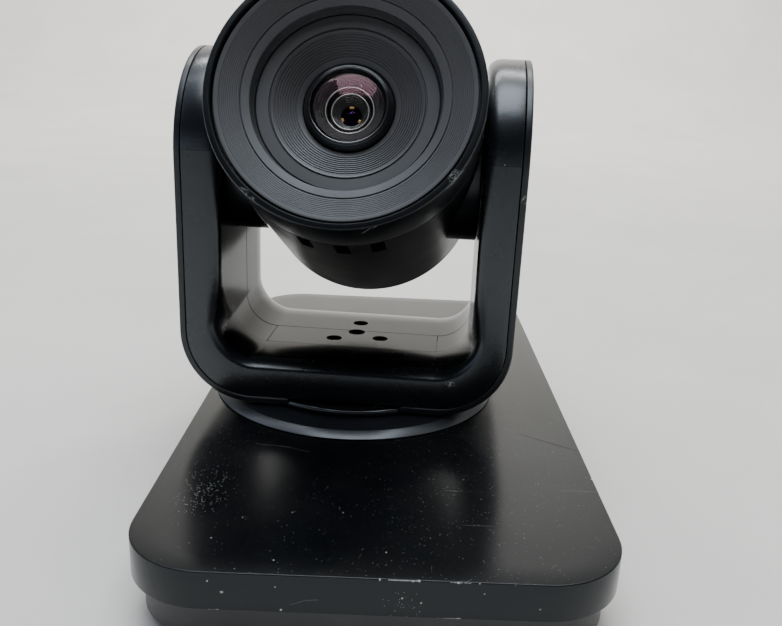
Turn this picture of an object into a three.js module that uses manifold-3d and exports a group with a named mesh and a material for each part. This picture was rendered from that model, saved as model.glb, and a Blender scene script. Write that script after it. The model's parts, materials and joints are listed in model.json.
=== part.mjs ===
// Pan-tilt-zoom conference camera: a barrel head in a U-shaped yoke on a long slab base.
// Millimetres, +Z up, origin on the floor under the middle of the overall box.
// The rest pose has the yoke turned a little on the base and the head tilted up.
import * as THREE from 'three';
import { mergeVertices } from 'three/addons/utils/BufferGeometryUtils.js';
import Module from 'manifold-3d';

const wasm = await Module();
wasm.setup();

// ---- driving dimensions -------------------------------------------------------------------
const GAP = 0.3;                 // clearance between neighbouring pieces

const BASE_X = 3.35;             // middle of the base across, from the origin
const BASE_W = 150;              // base, short side
const BASE_L = 286;              // base, long side
const BASE_R = 25.5;             // plan radius of the cover's corners
const TOP_Z = 27.5;              // top face of the base
const COVER_H = 12.3;            // height of the cover's side wall
const COVER_T = 2.2;
const LOWER_INSET = 3.8;         // lower shell stands in from the cover
const LOWER_Z = 2.6;             // underside of the lower shell
const LOWER_T = 2.4;
const FOOT_R = 8;
const FOOT_X = 53;
const FOOT_Y = 121;

const PAN_X = BASE_X - 13.5;     // pan axis
const PAN_Y = 2.9;
const PAN_REST = -4.06;          // yoke turn at rest, degrees
const RING_R = 60.7;             // bevelled pan ring on the base
const RING_TOP_R = 57;
const RING_H = 2.7;
const NECK_R = 30;
const LIP_R = 45.7;              // flange that shows in front of the yoke
const LIP_Z = 3.4;
const LIP_H = 2.25;

const YOKE_W = 65.5;             // half width over the side covers
const YOKE_D = 40.2;             // half depth
const YOKE_Z = 4.0;              // underside of the side covers above the base
const YOKE_R = 28.45;            // outer bottom corner
const SIDE_T = 2.75;             // side cover and its seam
const WIN_W = 49.2;              // half width between the arms
const WIN_Z = 23.3;              // window floor above the base
const WIN_R = 14;
const WIN_FILLET = 5.5;          // rounding of the window's front and rear edges
const FLARE_DEPTH = 22;          // the rear rounding runs this far in, low down
const FLARE_LOW = 60;            // and shortens between these heights
const FLARE_TOP = 88;
const SHELL_T = 2.3;
const SPLIT_Y = 1.8;             // parting of the front and rear shells
const CAP_Z = 103;               // parting under the arm caps

const TILT_Z = 100;              // tilt axis above the base
const TILT_REST = 25.7;          // head tilt at rest, degrees
const HUB_R = 32;
const AXLE_R = 7;

const RIM_R = 48.3;              // barrel and rim
const REAR_R = 47.45;
const RIM_FRONT = 62.8;
const SEAM = 42;                 // rim to barrel parting
const REAR = -43.8;
const FACE_R = 45.3;             // gap between rim and ribbed face
const LIP_FACE_R = 33.3;
const LIP_FACE = 58.1;
const WELL_R = 32.1;
const WELL = 53.5;
const GROOVE_R = 27.4;
const GLASS_R = 16.2;
const GLASS = 47.8;

const GEAR_T = 4;

// ---- helpers ------------------------------------------------------------------------------
function clean(geometry) {
  const bare = geometry.clone();
  bare.deleteAttribute('normal');
  bare.deleteAttribute('uv');
  bare.clearGroups();
  const merged = mergeVertices(bare, 1e-4);
  const pos = merged.attributes.position;
  const src = merged.index.array;
  const tris = [];
  let volume = 0;
  const a = new THREE.Vector3();
  const b = new THREE.Vector3();
  const c = new THREE.Vector3();
  for (let i = 0; i < src.length; i += 3) {
    const [p, q, r] = [src[i], src[i + 1], src[i + 2]];
    if (p === q || q === r || r === p) continue;
    a.fromBufferAttribute(pos, p);
    b.fromBufferAttribute(pos, q);
    c.fromBufferAttribute(pos, r);
    volume += a.dot(b.cross(c));
    tris.push(p, q, r);
  }
  if (volume < 0) {
    for (let i = 0; i < tris.length; i += 3) {
      const t = tris[i];
      tris[i] = tris[i + 1];
      tris[i + 1] = t;
    }
  }
  return { vert: new Float32Array(pos.array), tri: new Uint32Array(tris) };
}

function solid(geometry) {
  const { vert, tri } = clean(geometry);
  return new wasm.Manifold(new wasm.Mesh({ numProp: 3, vertProperties: vert, triVerts: tri }));
}

function geometryOf(manifold) {
  const mesh = manifold.getMesh();
  const g = new THREE.BufferGeometry();
  const flat = new Float32Array(mesh.triVerts.length * 3);
  mesh.triVerts.forEach((v, i) => {
    for (let k = 0; k < 3; k += 1) flat[i * 3 + k] = mesh.vertProperties[v * mesh.numProp + k];
  });
  g.setAttribute('position', new THREE.BufferAttribute(flat, 3));
  g.computeVertexNormals();
  return g;
}

const cut = (s, ...tools) => tools.reduce((acc, t) => acc.subtract(t), s);
const join = (s, ...more) => more.reduce((acc, t) => acc.add(t), s);
const keep = (s, t) => s.intersect(t);

function polygon(points) {
  const shape = new THREE.Shape();
  points.forEach(([x, y], i) => (i ? shape.lineTo(x, y) : shape.moveTo(x, y)));
  shape.closePath();
  return shape;
}

function arc(cx, cy, r, from, to, steps) {
  const out = [];
  for (let i = 0; i <= steps; i += 1) {
    const t = ((from + ((to - from) * i) / steps) * Math.PI) / 180;
    out.push([cx + r * Math.cos(t), cy + r * Math.sin(t)]);
  }
  return out;
}

function roundRect(w, l, r, steps = 8) {
  const [x, y] = [w / 2 - r, l / 2 - r];
  return [
    ...arc(x, y, r, 0, 90, steps),
    ...arc(-x, y, r, 90, 180, steps),
    ...arc(-x, -y, r, 180, 270, steps),
    ...arc(x, -y, r, 270, 360, steps),
  ];
}

function prism(points, z0, z1) {
  const g = new THREE.ExtrudeGeometry(polygon(points), { depth: z1 - z0, bevelEnabled: false });
  return g.translate(0, 0, z0);
}

// Outline in X and Z, pushed from y0 to y1.
function prismY(points, y0, y1) {
  return prism(points, -y1, -y0).rotateX(Math.PI / 2);
}

// Outline in Y and Z, pushed from x0 to x1.
function prismX(points, x0, x1) {
  const g = prism(points, x0, x1);
  return g.applyMatrix4(new THREE.Matrix4().set(0, 0, 1, 0, 1, 0, 0, 0, 0, 1, 0, 0, 0, 0, 0, 1));
}

// Closed skin through rings of equal count, capped at both ends.
function loft(sections) {
  const flat = sections[0].map((v) => new THREE.Vector2(v[0], v[2]));
  const rings = THREE.ShapeUtils.isClockWise(flat) ? sections.map((s) => [...s].reverse()) : sections;
  const n = rings[0].length;
  const pos = rings.flat(2);
  const index = [];
  for (let k = 0; k + 1 < rings.length; k += 1) {
    for (let i = 0; i < n; i += 1) {
      const [p, q] = [k * n + i, k * n + ((i + 1) % n)];
      index.push(p, q, p + n, q, q + n, p + n);
    }
  }
  const caps = THREE.ShapeUtils.triangulateShape(
    rings[0].map((v) => new THREE.Vector2(v[0], v[2])), []);
  const last = (rings.length - 1) * n;
  caps.forEach(([p, q, r]) => {
    index.push(p, r, q);
    index.push(last + p, last + q, last + r);
  });
  const g = new THREE.BufferGeometry();
  g.setAttribute('position', new THREE.BufferAttribute(new Float32Array(pos), 3));
  g.setIndex(index);
  return g;
}

function turned(profile, steps) {
  const pts = profile.map(([r, h]) => new THREE.Vector2(Math.max(r, 0), h));
  const closed = profile[0][0] > 0 ? [...pts, pts[0].clone()] : pts;
  return new THREE.LatheGeometry(closed, steps);
}

// Turned solid on the Z axis: pairs are radius and height.
const turnZ = (profile, steps = 32) => turned(profile, steps).rotateX(Math.PI / 2);
// Turned solid on the head's axis: pairs are radius and distance forward (towards -Y).
const turnHead = (profile, steps = 32) => turned(profile, steps).rotateX(Math.PI);
// Turned solid on the X axis: pairs are radius and x.
const turnX = (profile, steps = 32) => turned(profile, steps).rotateZ(-Math.PI / 2);

const tube = (r0, r1, h0, h1) => [[r0, h0], [r1, h0], [r1, h1], [r0, h1]];
const rod = (r, h0, h1) => [[0, h0], [r, h0], [r, h1], [0, h1]];

function block(x0, x1, y0, y1, z0, z1) {
  const g = new THREE.BoxGeometry(x1 - x0, y1 - y0, z1 - z0);
  return solid(g.translate((x0 + x1) / 2, (y0 + y1) / 2, (z0 + z1) / 2));
}

// Spur gear outline: short teeth with side clearance.
function gearOutline(teeth, module, phase = 0) {
  const r = (teeth * module) / 2;
  const [root, tip] = [r - 1.05 * module, r + 0.72 * module];
  const pitch = (Math.PI * 2) / teeth;
  const out = [];
  for (let i = 0; i < teeth; i += 1) {
    const mid = (i + phase) * pitch;
    [[root, -0.29], [tip, -0.13], [tip, 0.13], [root, 0.29]].forEach(([q, f]) => {
      out.push([q * Math.cos(mid + f * pitch), q * Math.sin(mid + f * pitch)]);
    });
  }
  return out;
}

const rad = Math.PI / 180;

// ---- scene graph: base, pan axis, yoke turned on it, head tilted in the yoke ----------------
const camera = new THREE.Group();
const onBase = new THREE.Group();
const onPan = new THREE.Group();
const onYoke = new THREE.Group();
const onHead = new THREE.Group();
camera.name = 'ptz_camera';
camera.add(onBase, onPan);
onPan.add(onYoke);
onYoke.add(onHead);
onBase.position.x = BASE_X;
onPan.position.set(PAN_X, PAN_Y, TOP_Z);
onYoke.rotation.z = PAN_REST * rad;
onHead.position.z = TILT_Z;
onHead.rotation.x = -TILT_REST * rad;

const LOOK = {
  coat: [0x1b1d20, 0.3, 0.5],
  satin: [0x17181a, 0.0, 0.4],
  plastic: [0x17181a, 0.0, 0.5],
  gloss: [0x0c0d0e, 0.0, 0.15],
  rubber: [0x111111, 0.0, 0.9],
  steel: [0x8d9094, 1.0, 0.35],
  brass: [0xb08d4a, 1.0, 0.35],
  board: [0x1f4a33, 0.0, 0.6],
  glass: [0x1c1a26, 0.0, 0.05],
  nylon: [0xd9d6cc, 0.0, 0.5],
  alloy: [0xa7aaad, 1.0, 0.4],
};

function add(name, look, target, frame) {
  const [color, metalness, roughness] = LOOK[look];
  const material = new THREE.MeshStandardMaterial({ color, metalness, roughness });
  material.name = look;
  const geometry = geometryOf(target instanceof THREE.BufferGeometry ? solid(target) : target);
  const mesh = new THREE.Mesh(geometry, material);
  mesh.name = name;
  frame.add(mesh);
  return mesh;
}

// ---- base ---------------------------------------------------------------------------------
const coverZ = TOP_Z - COVER_H;
const panHole = () => solid(turnZ(rod(33, -10, 60), 40)).translate([PAN_X - BASE_X, PAN_Y, 0]);

const coverEdge = 1.2;
const cover = cut(
  join(
    solid(prism(roundRect(BASE_W, BASE_L, BASE_R), coverZ, TOP_Z - coverEdge)),
    solid(loft([
      [0, 0], [0.35, 0.85], [coverEdge, coverEdge],
    ].map(([inset, up]) => roundRect(BASE_W - 2 * inset, BASE_L - 2 * inset, BASE_R - inset)
      .map(([x, y]) => [x, TOP_Z - coverEdge + up, y]))).applyMatrix4(
      new THREE.Matrix4().set(1, 0, 0, 0, 0, 0, 1, 0, 0, 1, 0, 0, 0, 0, 0, 1))),
  ),
  solid(prism(roundRect(BASE_W - 2 * COVER_T, BASE_L - 2 * COVER_T, BASE_R - COVER_T),
    coverZ - 1, TOP_Z - COVER_T)),
  panHole(),
);
add('base_top_cover', 'coat', cover, onBase);

const lowW = BASE_W - 2 * LOWER_INSET;
const lowL = BASE_L - 2 * LOWER_INSET;
const lowR = BASE_R - LOWER_INSET;
const wallX = lowW / 2;
const lowTop = TOP_Z - COVER_T - GAP;
const PORT_Y = [47, 65, 84, 102];
const portHoles = [
  block(wallX - 6, wallX + 2, PORT_Y[0] - 6, PORT_Y[0] + 6, 6.2, 17.2),
  block(wallX - 6, wallX + 2, PORT_Y[1] - 8.2, PORT_Y[1] + 8.2, 6.2, 13.2),
  block(wallX - 6, wallX + 2, PORT_Y[2] - 7.2, PORT_Y[2] + 7.2, 6.2, 14.2),
  block(wallX - 6, wallX + 2, PORT_Y[3] - 8.6, PORT_Y[3] + 8.6, 6.2, 20.4),
];
const lower = cut(
  solid(prism(roundRect(lowW, lowL, lowR), LOWER_Z, lowTop)),
  solid(prism(roundRect(lowW - 2 * LOWER_T, lowL - 2 * LOWER_T, lowR - LOWER_T), LOWER_Z - 1,
    lowTop + 1)),
  block(wallX - 6, wallX + 2, 38, 114, 5, 22),
  block(-wallX - 2, -wallX + 6, PAN_Y - 16, PAN_Y + 16, 6.5, 12.5),
);
add('base_lower_shell', 'plastic', lower, onBase);

const plateW = lowW - 2 * LOWER_T - 2 * GAP;
const plateL = lowL - 2 * LOWER_T - 2 * GAP;
const SCREW_X = 40;
const SCREW_Y = 128;
const corners = [[-1, -1], [1, -1], [1, 1], [-1, 1]];
const plate = cut(
  solid(prism(roundRect(plateW, plateL, lowR - LOWER_T - GAP, 6), LOWER_Z, LOWER_Z + 1.6)),
  ...corners.map(([i, j]) => solid(turnZ(rod(2.1, 0, 9), 8))
    .translate([i * SCREW_X, j * SCREW_Y, 0])),
  ...corners.map(([i, j]) => solid(turnZ(rod(3.3, 0, 9), 10)).translate([i * FOOT_X, j * FOOT_Y, 0])),
  solid(turnZ(rod(6.3, 0, 9), 18)).translate([PAN_X - BASE_X, PAN_Y, 0]),
);
add('bottom_plate', 'steel', plate, onBase);

corners.forEach(([i, j], k) => {
  const foot = turnZ([[0, 0], [FOOT_R - 0.6, 0], [FOOT_R, 0.6], [FOOT_R, LOWER_Z - GAP],
    [3, LOWER_Z - GAP], [3, LOWER_Z + 2.6], [0, LOWER_Z + 2.6]], 16);
  add(`foot_${k + 1}`, 'rubber', foot, onBase).position.set(i * FOOT_X, j * FOOT_Y, 0);
});

corners.forEach(([i, j], k) => {
  const screw = turnZ([[0, LOWER_Z - 1.6], [3.2, LOWER_Z - 1.6], [3.2, LOWER_Z - GAP],
    [1.7, LOWER_Z - GAP], [1.7, LOWER_Z + 6], [0, LOWER_Z + 6]], 10);
  add(`bottom_screw_${k + 1}`, 'steel', screw, onBase).position.set(i * SCREW_X, j * SCREW_Y, 0);
});

const insert = cut(
  solid(turnZ([[0, LOWER_Z - 0.4], [6, LOWER_Z - 0.4], [6, LOWER_Z + 1.9], [8.5, LOWER_Z + 1.9],
    [8.5, LOWER_Z + 3.6], [0, LOWER_Z + 3.6]], 18)),
  solid(turnZ(rod(3.1, -1, LOWER_Z + 2.6), 16)),
);
add('tripod_insert', 'brass', insert, onBase).position.set(PAN_X - BASE_X, PAN_Y, 0);

const panel = cut(
  block(wallX - 2.6, wallX - 0.6, 38 + GAP, 114 - GAP, 5 + GAP, 22 - GAP),
  ...portHoles,
);
add('connector_panel', 'plastic', panel, onBase);

const px = wallX - 1.0;
const powerJack = cut(
  block(px - 12, px, PORT_Y[0] - 5.7, PORT_Y[0] + 5.7, 6.5, 16.9),
  solid(turnX(rod(3.3, px - 10, px + 1), 16)).translate([0, PORT_Y[0], 11.7]),
);
const jackPin = solid(turnX(rod(1.1, px - 10.5, px - 1.5), 10)).translate([0, PORT_Y[0], 11.7]);
add('power_inlet', 'gloss', join(powerJack, jackPin), onBase);

const video = join(
  cut(
    block(px - 12, px, PORT_Y[1] - 7.9, PORT_Y[1] + 7.9, 6.5, 12.9),
    block(px - 10, px + 1, PORT_Y[1] - 7.1, PORT_Y[1] + 7.1, 7.3, 12.1),
  ),
  block(px - 10.5, px - 1.5, PORT_Y[1] - 5.4, PORT_Y[1] + 5.4, 9.6, 10.6),
);
add('video_socket', 'steel', video, onBase);

const usb = join(
  cut(
    block(px - 13, px, PORT_Y[2] - 6.9, PORT_Y[2] + 6.9, 6.5, 13.9),
    block(px - 11, px + 1, PORT_Y[2] - 6.2, PORT_Y[2] + 6.2, 7.1, 13.3),
  ),
  block(px - 11.5, px - 1.5, PORT_Y[2] - 5.4, PORT_Y[2] + 5.4, 11.1, 12.7),
);
add('usb_socket', 'steel', usb, onBase);

const network = cut(
  block(px - 15, px, PORT_Y[3] - 8.3, PORT_Y[3] + 8.3, 6.5, 20.1),
  block(px - 13, px + 1, PORT_Y[3] - 5.9, PORT_Y[3] + 5.9, 8.2, 16.4),
  block(px - 13, px + 1, PORT_Y[3] - 3.1, PORT_Y[3] + 3.1, 16.2, 18.6),
);
add('network_socket', 'steel', network, onBase);

add('main_board', 'board', block(-34, wallX - 3, 38.5, 111.5, 4.6, 6.2), onBase);

let sink = block(-14, 22, 60, 96, 6.5, 9.4);
for (let i = 0; i < 5; i += 1) {
  sink = join(sink, block(-14 + i * 8.5, -12 + i * 8.5, 60, 96, 9, 17));
}
add('heat_sink', 'alloy', sink, onBase);

const wx = -wallX;
add('remote_window', 'gloss',
  block(wx + 0.3, wx + 2.6, PAN_Y - 15.7, PAN_Y + 15.7, 6.8, 12.2), onBase);

// ---- pan drive, in the base ---------------------------------------------------------------
const ring = turnZ([[33.2, GAP], [RING_R, GAP], [RING_TOP_R, RING_H], [31, RING_H],
  [31, 1.6], [33.2, 1.6]], 40);
add('pan_ring', 'coat', ring, onPan);

const panRace = turnZ([[NECK_R + 0.4, -8], [35.4, -8], [35.4, -2.6], [32.5, -2.6],
  [32.5, 1.2], [NECK_R + 0.4, 1.2]], 28);
add('pan_bearing', 'steel', panRace, onPan);

const PAN_TEETH = 44;
const PAN_PINION = 11;
const PAN_MODULE = 1.6;
const panDistance = ((PAN_TEETH + PAN_PINION) * PAN_MODULE) / 2 + 0.1;
const PAN_MOTOR_AT = 250 * rad;
const [motorX, motorY] = [panDistance * Math.cos(PAN_MOTOR_AT), panDistance * Math.sin(PAN_MOTOR_AT)];
const bossZ = WIN_Z - SHELL_T - GAP;
const SCREWS = [89, 229, 328].map((a) => [13 * Math.cos(a * rad), 13 * Math.sin(a * rad)]);

const neck = cut(
  join(
    solid(turnZ([[0, -12.6], [NECK_R, -12.6], [NECK_R, LIP_Z], [LIP_R - 0.7, LIP_Z],
      [LIP_R, LIP_Z + 0.6], [LIP_R, LIP_Z + LIP_H - 0.6], [LIP_R - 0.7, LIP_Z + LIP_H],
      [0, LIP_Z + LIP_H]], 40)),
    ...SCREWS.map(([x, y]) => solid(turnZ(rod(4.6, LIP_Z, 13.6), 12)).translate([x, y, 0])),
    solid(turnZ(rod(4.6, LIP_Z, bossZ), 18)),
  ),
  solid(turnZ(rod(NECK_R - 4, -20, LIP_Z - 3), 24)),
  ...SCREWS.map(([x, y]) => solid(turnZ(rod(1.6, -8, 30), 10)).translate([x, y, 0])),
  solid(turnZ(rod(3.2, -8, 40), 16)),
);
add('pan_neck', 'satin', neck, onYoke);

const panGear = cut(
  solid(prism(gearOutline(PAN_TEETH, PAN_MODULE), -12.3, -12.3 + GEAR_T)),
  solid(turnZ(rod(NECK_R + GAP, -14, 0), 40)),
);
add('pan_gear', 'nylon', panGear, onYoke);

// Pinion turn, in tooth pitches, that puts a gap opposite the wheel's nearest tooth.
// Both arguments are directions along the line of centres, in each gear's own pitches.
const meshPhase = (fromWheel, fromPinion) => fromPinion + (fromWheel - Math.floor(fromWheel)) + 0.5;

const panPhase = meshPhase(((PAN_MOTOR_AT / rad - PAN_REST) * PAN_TEETH) / 360,
  ((PAN_MOTOR_AT / rad + 180) * PAN_PINION) / 360);
const panPinion = join(
  solid(prism(gearOutline(PAN_PINION, PAN_MODULE, panPhase), -12.3, -12.3 + GEAR_T)),
  solid(turnZ(rod(2.4, -13.4, -6), 14)),
);
add('pan_pinion', 'brass', panPinion, onPan).position.set(motorX, motorY, 0);

const panMotor = turnZ([[0, -22.6], [14.5, -22.6], [15, -22.1], [15, -14.3], [14.5, -13.8],
  [0, -13.8]], 28);
add('pan_motor', 'steel', panMotor, onPan).position.set(motorX, motorY, 0);

// ---- yoke ---------------------------------------------------------------------------------
// U outline in X and Z: straight sides, rounded bottom corners, open at the top.
function uOutline(w, z, r, top, steps = 8) {
  return [
    [w, top],
    ...arc(w - r, z + r, r, 360, 270, steps),
    ...arc(-w + r, z + r, r, 270, 180, steps),
    [-w, top],
  ];
}

// Side outline in Y and Z: straight flanks under a round top.
function sideOutline(d, low, steps = 24) {
  return [[-d, low], ...arc(0, TILT_Z, d, 180, 0, steps), [d, low]];
}

const seamW = YOKE_W - SIDE_T;
const seamZ = YOKE_Z + SIDE_T;
const seamR = YOKE_R - SIDE_T;
const HIGH = TILT_Z + YOKE_D + 10;

// How far in the window's rear rounding starts: long by the floor, short by the arm caps.
function rearDepth(z) {
  const t = Math.min(1, Math.max(0, (FLARE_TOP - z) / (FLARE_TOP - FLARE_LOW)));
  return WIN_FILLET + (FLARE_DEPTH - WIN_FILLET) * t * t * (3 - 2 * t);
}

// Window between the arms, with rounded front and rear edges.
function windowTool(grow = 0) {
  const [f, d] = [WIN_FILLET, YOKE_D];
  const bend = [0, 20, 45, 70, 90];
  const out = (a) => f - f * Math.cos(a * rad);
  const edge = [
    [f, () => -d - 1],
    ...[...bend].reverse().map((a) => [out(a), () => -d + f - f * Math.sin(a * rad)]),
    ...bend.map((a) => [out(a), (z) => d - rearDepth(z) * (1 - Math.sin(a * rad))]),
    [f, () => d + 1],
  ];
  const rises = [95, 88, 81, 74, 67, 60];
  return solid(loft(edge.map(([o, y]) => {
    const w = WIN_W + grow + o;
    const line = uOutline(w, WIN_Z - grow - o, WIN_R + grow + o, HIGH);
    return [line[0], ...rises.map((z) => [w, z]), ...line.slice(1, -1),
      ...[...rises].reverse().map((z) => [-w, z]), line.at(-1)].map(([x, z]) => [x, y(z), z]);
  })));
}

// Rounds the arms' inner edges over their tops.
function capTool(side) {
  const [f, w] = [WIN_FILLET, WIN_W];
  const profile = [
    [YOKE_D - f, w - 2],
    [YOKE_D - f, w],
    ...[20, 45, 70].map((a) => [YOKE_D - f + f * Math.sin(a * rad), w + f - f * Math.cos(a * rad)]),
    [YOKE_D, w + f],
    [YOKE_D + 6, w + f],
    [YOKE_D + 6, w - 2],
  ];
  const round = solid(turnX(profile, 40)).translate([0, 0, TILT_Z]);
  const upper = keep(round, block(0, 80, -60, 60, TILT_Z, HIGH));
  return side > 0 ? upper : upper.mirror([1, 0, 0]);
}

const yokeSide = (d) => solid(prismX(sideOutline(d, 0), -80, 80));
const bandOuter = keep(
  solid(prismY(uOutline(seamW, seamZ, seamR, HIGH), -YOKE_D, YOKE_D)), yokeSide(YOKE_D));
const bandFull = cut(bandOuter, windowTool(), capTool(1), capTool(-1));

// Hollow: everything inside the faces and behind the window wall, open to the outer side.
const core = cut(
  keep(
    solid(prismY(uOutline(seamW + 5, seamZ - 5, seamR + 5, HIGH), -YOKE_D + SHELL_T,
      YOKE_D - SHELL_T)),
    yokeSide(YOKE_D - SHELL_T)),
  windowTool(SHELL_T),
);
const axleHole = solid(turnX(rod(AXLE_R + 0.6, -60, 60), 20)).translate([0, 0, TILT_Z]);
const shellFull = cut(bandFull, core, axleHole);
const frontHalf = block(-90, 90, -60, SPLIT_Y - GAP / 2, 0, CAP_Z - GAP / 2);
const rearHalf = block(-90, 90, SPLIT_Y + GAP / 2, 60, 0, CAP_Z - GAP / 2);
const PANEL_X = 35.5;
const PANEL_Y = -19;
const floorCut = block(-PANEL_X - GAP, PANEL_X + GAP, PANEL_Y - GAP, SPLIT_Y + 1, WIN_Z - 1.4, 40);
const holeAt = (r, [x, y], steps = 14) => solid(turnZ(rod(r, 0, 40), steps)).translate([x, y, 0]);

add('yoke_front_shell', 'satin', cut(keep(shellFull, frontHalf), floorCut,
  holeAt(4.2, [0, 0], 18), ...SCREWS.slice(1).map((at) => holeAt(3.7, at))), onYoke);
add('yoke_rear_shell', 'satin', cut(keep(shellFull, rearHalf),
  holeAt(3.6, [0, 0], 18), holeAt(3.3, SCREWS[0])), onYoke);

const floorPanel = cut(
  block(-PANEL_X, PANEL_X, PANEL_Y, SPLIT_Y - GAP / 2, WIN_Z - 1.1, WIN_Z),
  holeAt(3.6, [0, 0], 18), ...SCREWS.slice(1).map((at) => holeAt(3.3, at)),
);
add('yoke_floor_panel', 'satin', floorPanel, onYoke);

SCREWS.forEach(([x, y], k) => {
  const screw = turnZ([[0, 4], [1.3, 4], [1.3, 13.9], [2.7, 13.9], [2.7, 15.9], [0, 15.9]], 10);
  add(`neck_screw_${k + 1}`, 'steel', screw, onYoke).position.set(x, y, 0);
});

const sheetOuter = solid(prismY(uOutline(YOKE_W, YOKE_Z, YOKE_R, HIGH), -YOKE_D, YOKE_D));
const sheetInner = solid(prismY(
  uOutline(seamW + GAP, seamZ - GAP, seamR + GAP, HIGH), -YOKE_D - 1, YOKE_D + 1));
const sheet = cut(keep(sheetOuter, yokeSide(YOKE_D)), sheetInner,
  solid(turnZ(rod(LIP_R + GAP, 0, 9), 48)), block(-21.6, 21.6, -60, 60, 0, 20));
add('left_side_cover', 'satin', keep(sheet, block(-90, -15, -60, 60, 0, 200)), onYoke);
add('right_side_cover', 'satin', keep(sheet, block(15, 90, -60, 60, 0, 200)), onYoke);

const capHalf = (s) => {
  const slab = s > 0 ? block(20, 90, -60, 60, CAP_Z + GAP / 2, 200)
    : block(-90, -20, -60, 60, CAP_Z + GAP / 2, 200);
  return keep(shellFull, slab);
};
add('left_arm_cap', 'satin', capHalf(-1), onYoke);
add('right_arm_cap', 'satin', capHalf(1), onYoke);

const bearing = solid(turnX(
  tube(AXLE_R + 0.35, 12, WIN_W + SHELL_T + GAP, WIN_W + SHELL_T + 5), 20));
add('right_tilt_bearing', 'steel', bearing, onYoke).position.z = TILT_Z;
add('left_tilt_bearing', 'steel', bearing.mirror([1, 0, 0]), onYoke).position.z = TILT_Z;

add('drive_board', 'board',
  block(seamW - 4.2, seamW - 2.6, -30, 30, 38, 70), onYoke);

// Fixed wheel on the right arm, inside the hollow right hub.
const TILT_TEETH = 36;
const TILT_PINION = 12;
const TILT_MODULE = 0.9;
const tiltDistance = ((TILT_TEETH + TILT_PINION) * TILT_MODULE) / 2 + 0.1;
const tiltPhase = meshPhase(((90 - TILT_REST) * TILT_TEETH) / 360, (270 * TILT_PINION) / 360);
const tiltGear = cut(
  solid(prism(gearOutline(TILT_TEETH, TILT_MODULE), WIN_W - GAP - GEAR_T, WIN_W - GAP)
    .rotateY(Math.PI / 2)),
  solid(turnX(rod(AXLE_R + 0.5, 40, 60), 24)),
);
add('tilt_wheel', 'nylon', tiltGear, onYoke).position.z = TILT_Z;

// ---- head ---------------------------------------------------------------------------------
const ventAngles = [-106.5, -90, -74.5];
const ventTool = (a) => block(-2.6, 2.6, -41.2, -28.5, 40, 60).rotate([0, 90 - a, 0]);
const barrelTube = solid(turnHead([
  [REAR_R, REAR], [RIM_R, SEAM - GAP / 2], [RIM_R - 2.4, SEAM - GAP / 2], [REAR_R - 2.4, REAR],
], 40));
const hubBore = solid(turnX(rod(HUB_R - 1.5, -60, 60), 32));
const barrel = cut(barrelTube, hubBore, ...ventAngles.map(ventTool));
add('head_barrel', 'satin', barrel, onHead);

const rearCap = turnHead([
  [0, -50.6], [36, -50.4], [41.5, -49.4], [45.2, -47.4], [REAR_R - 0.4, -45.6],
  [REAR_R, REAR - GAP], [REAR_R - 2.7, REAR - GAP], [REAR_R - 2.7, REAR + 3], [REAR_R - 4.4, REAR + 3],
  [REAR_R - 4.4, -46.2], [34, -48.2], [0, -48.4],
], 36);
add('head_rear_cap', 'satin', rearCap, onHead);

const rim = turnHead([
  [RIM_R, SEAM + GAP / 2], [RIM_R - 0.15, RIM_FRONT - 0.9], [RIM_R - 0.7, RIM_FRONT - 0.2],
  [RIM_R - 1.4, RIM_FRONT], [FACE_R + 0.8, RIM_FRONT - 0.3], [FACE_R + 0.25, RIM_FRONT - 1],
  [FACE_R + 0.25, SEAM + GAP / 2],
], 40);
add('front_rim', 'satin', rim, onHead);

const face = turnHead([
  [FACE_R - 0.15, 61.6], [LIP_FACE_R + 0.4, LIP_FACE], [LIP_FACE_R, LIP_FACE - 0.3],
  [WELL_R + 0.2, WELL + 0.2], [WELL_R + 1.6, WELL - 1.2], [LIP_FACE_R + 2, LIP_FACE - 2],
  [FACE_R - 0.15, 58.6],
], 40);
add('ribbed_face', 'plastic', face, onHead);

const well = turnHead([
  [WELL_R - 0.2, WELL], [GROOVE_R + 0.3, WELL - 0.6], [GROOVE_R, WELL - 1.1],
  [GROOVE_R - 0.4, WELL - 0.75], [GLASS_R + 0.2, GLASS + 0.3], [GLASS_R + 0.2, GLASS - 2.4],
  [WELL_R - 0.2, WELL - 2],
], 36);
add('ribbed_well', 'plastic', well, onHead);

const glassRing = turnHead([
  [GLASS_R - 0.15, GLASS - 2], [GLASS_R - 0.15, GLASS + 0.6], [14.4, 50.8], [13.7, 50.6],
  [13.7, 48.8], [12.4, 48.8], [12.4, GLASS - 2],
], 28);
add('lens_retaining_ring', 'gloss', glassRing, onHead);

const frontGlass = turnHead([
  [0, 50.6], [7, 50.2], [13.2, 49.1], [13.4, 49.4], [11.5, 50.6], [8, 52], [4, 52.9], [0, 53.2],
], 24);
add('front_element', 'glass', frontGlass, onHead);

const housing = cut(
  solid(turnHead([
    [0, -14], [18.3, -14], [18.3, 43], [16, 45], [12.4, 45], [12.4, 43.5], [14.5, 42.5],
    [14.5, -12], [0, -12],
  ], 24)),
  block(-6, 6, -13, 20, -6, 6),
);
add('lens_housing', 'plastic', housing, onHead);

const ring2 = (r0, r1, l0, l1, steps = 32) => turnHead(tube(r0, r1, l0, l1), steps);
const zoomCarrier = turnHead([
  [8.9, 34], [14.1, 34], [14.1, 42], [8.9, 42], [8.3, 41], [6.9, 40.6], [6.9, 36], [8.9, 35],
], 24);
add('zoom_carrier', 'plastic', zoomCarrier, onHead);
const zoomGlass = turnHead([
  [0, 38.2], [4, 38.5], [6.6, 39.4], [6.6, 36.6], [4, 36.8], [0, 37],
].reverse(), 20);
add('zoom_element', 'glass', zoomGlass, onHead);

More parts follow.
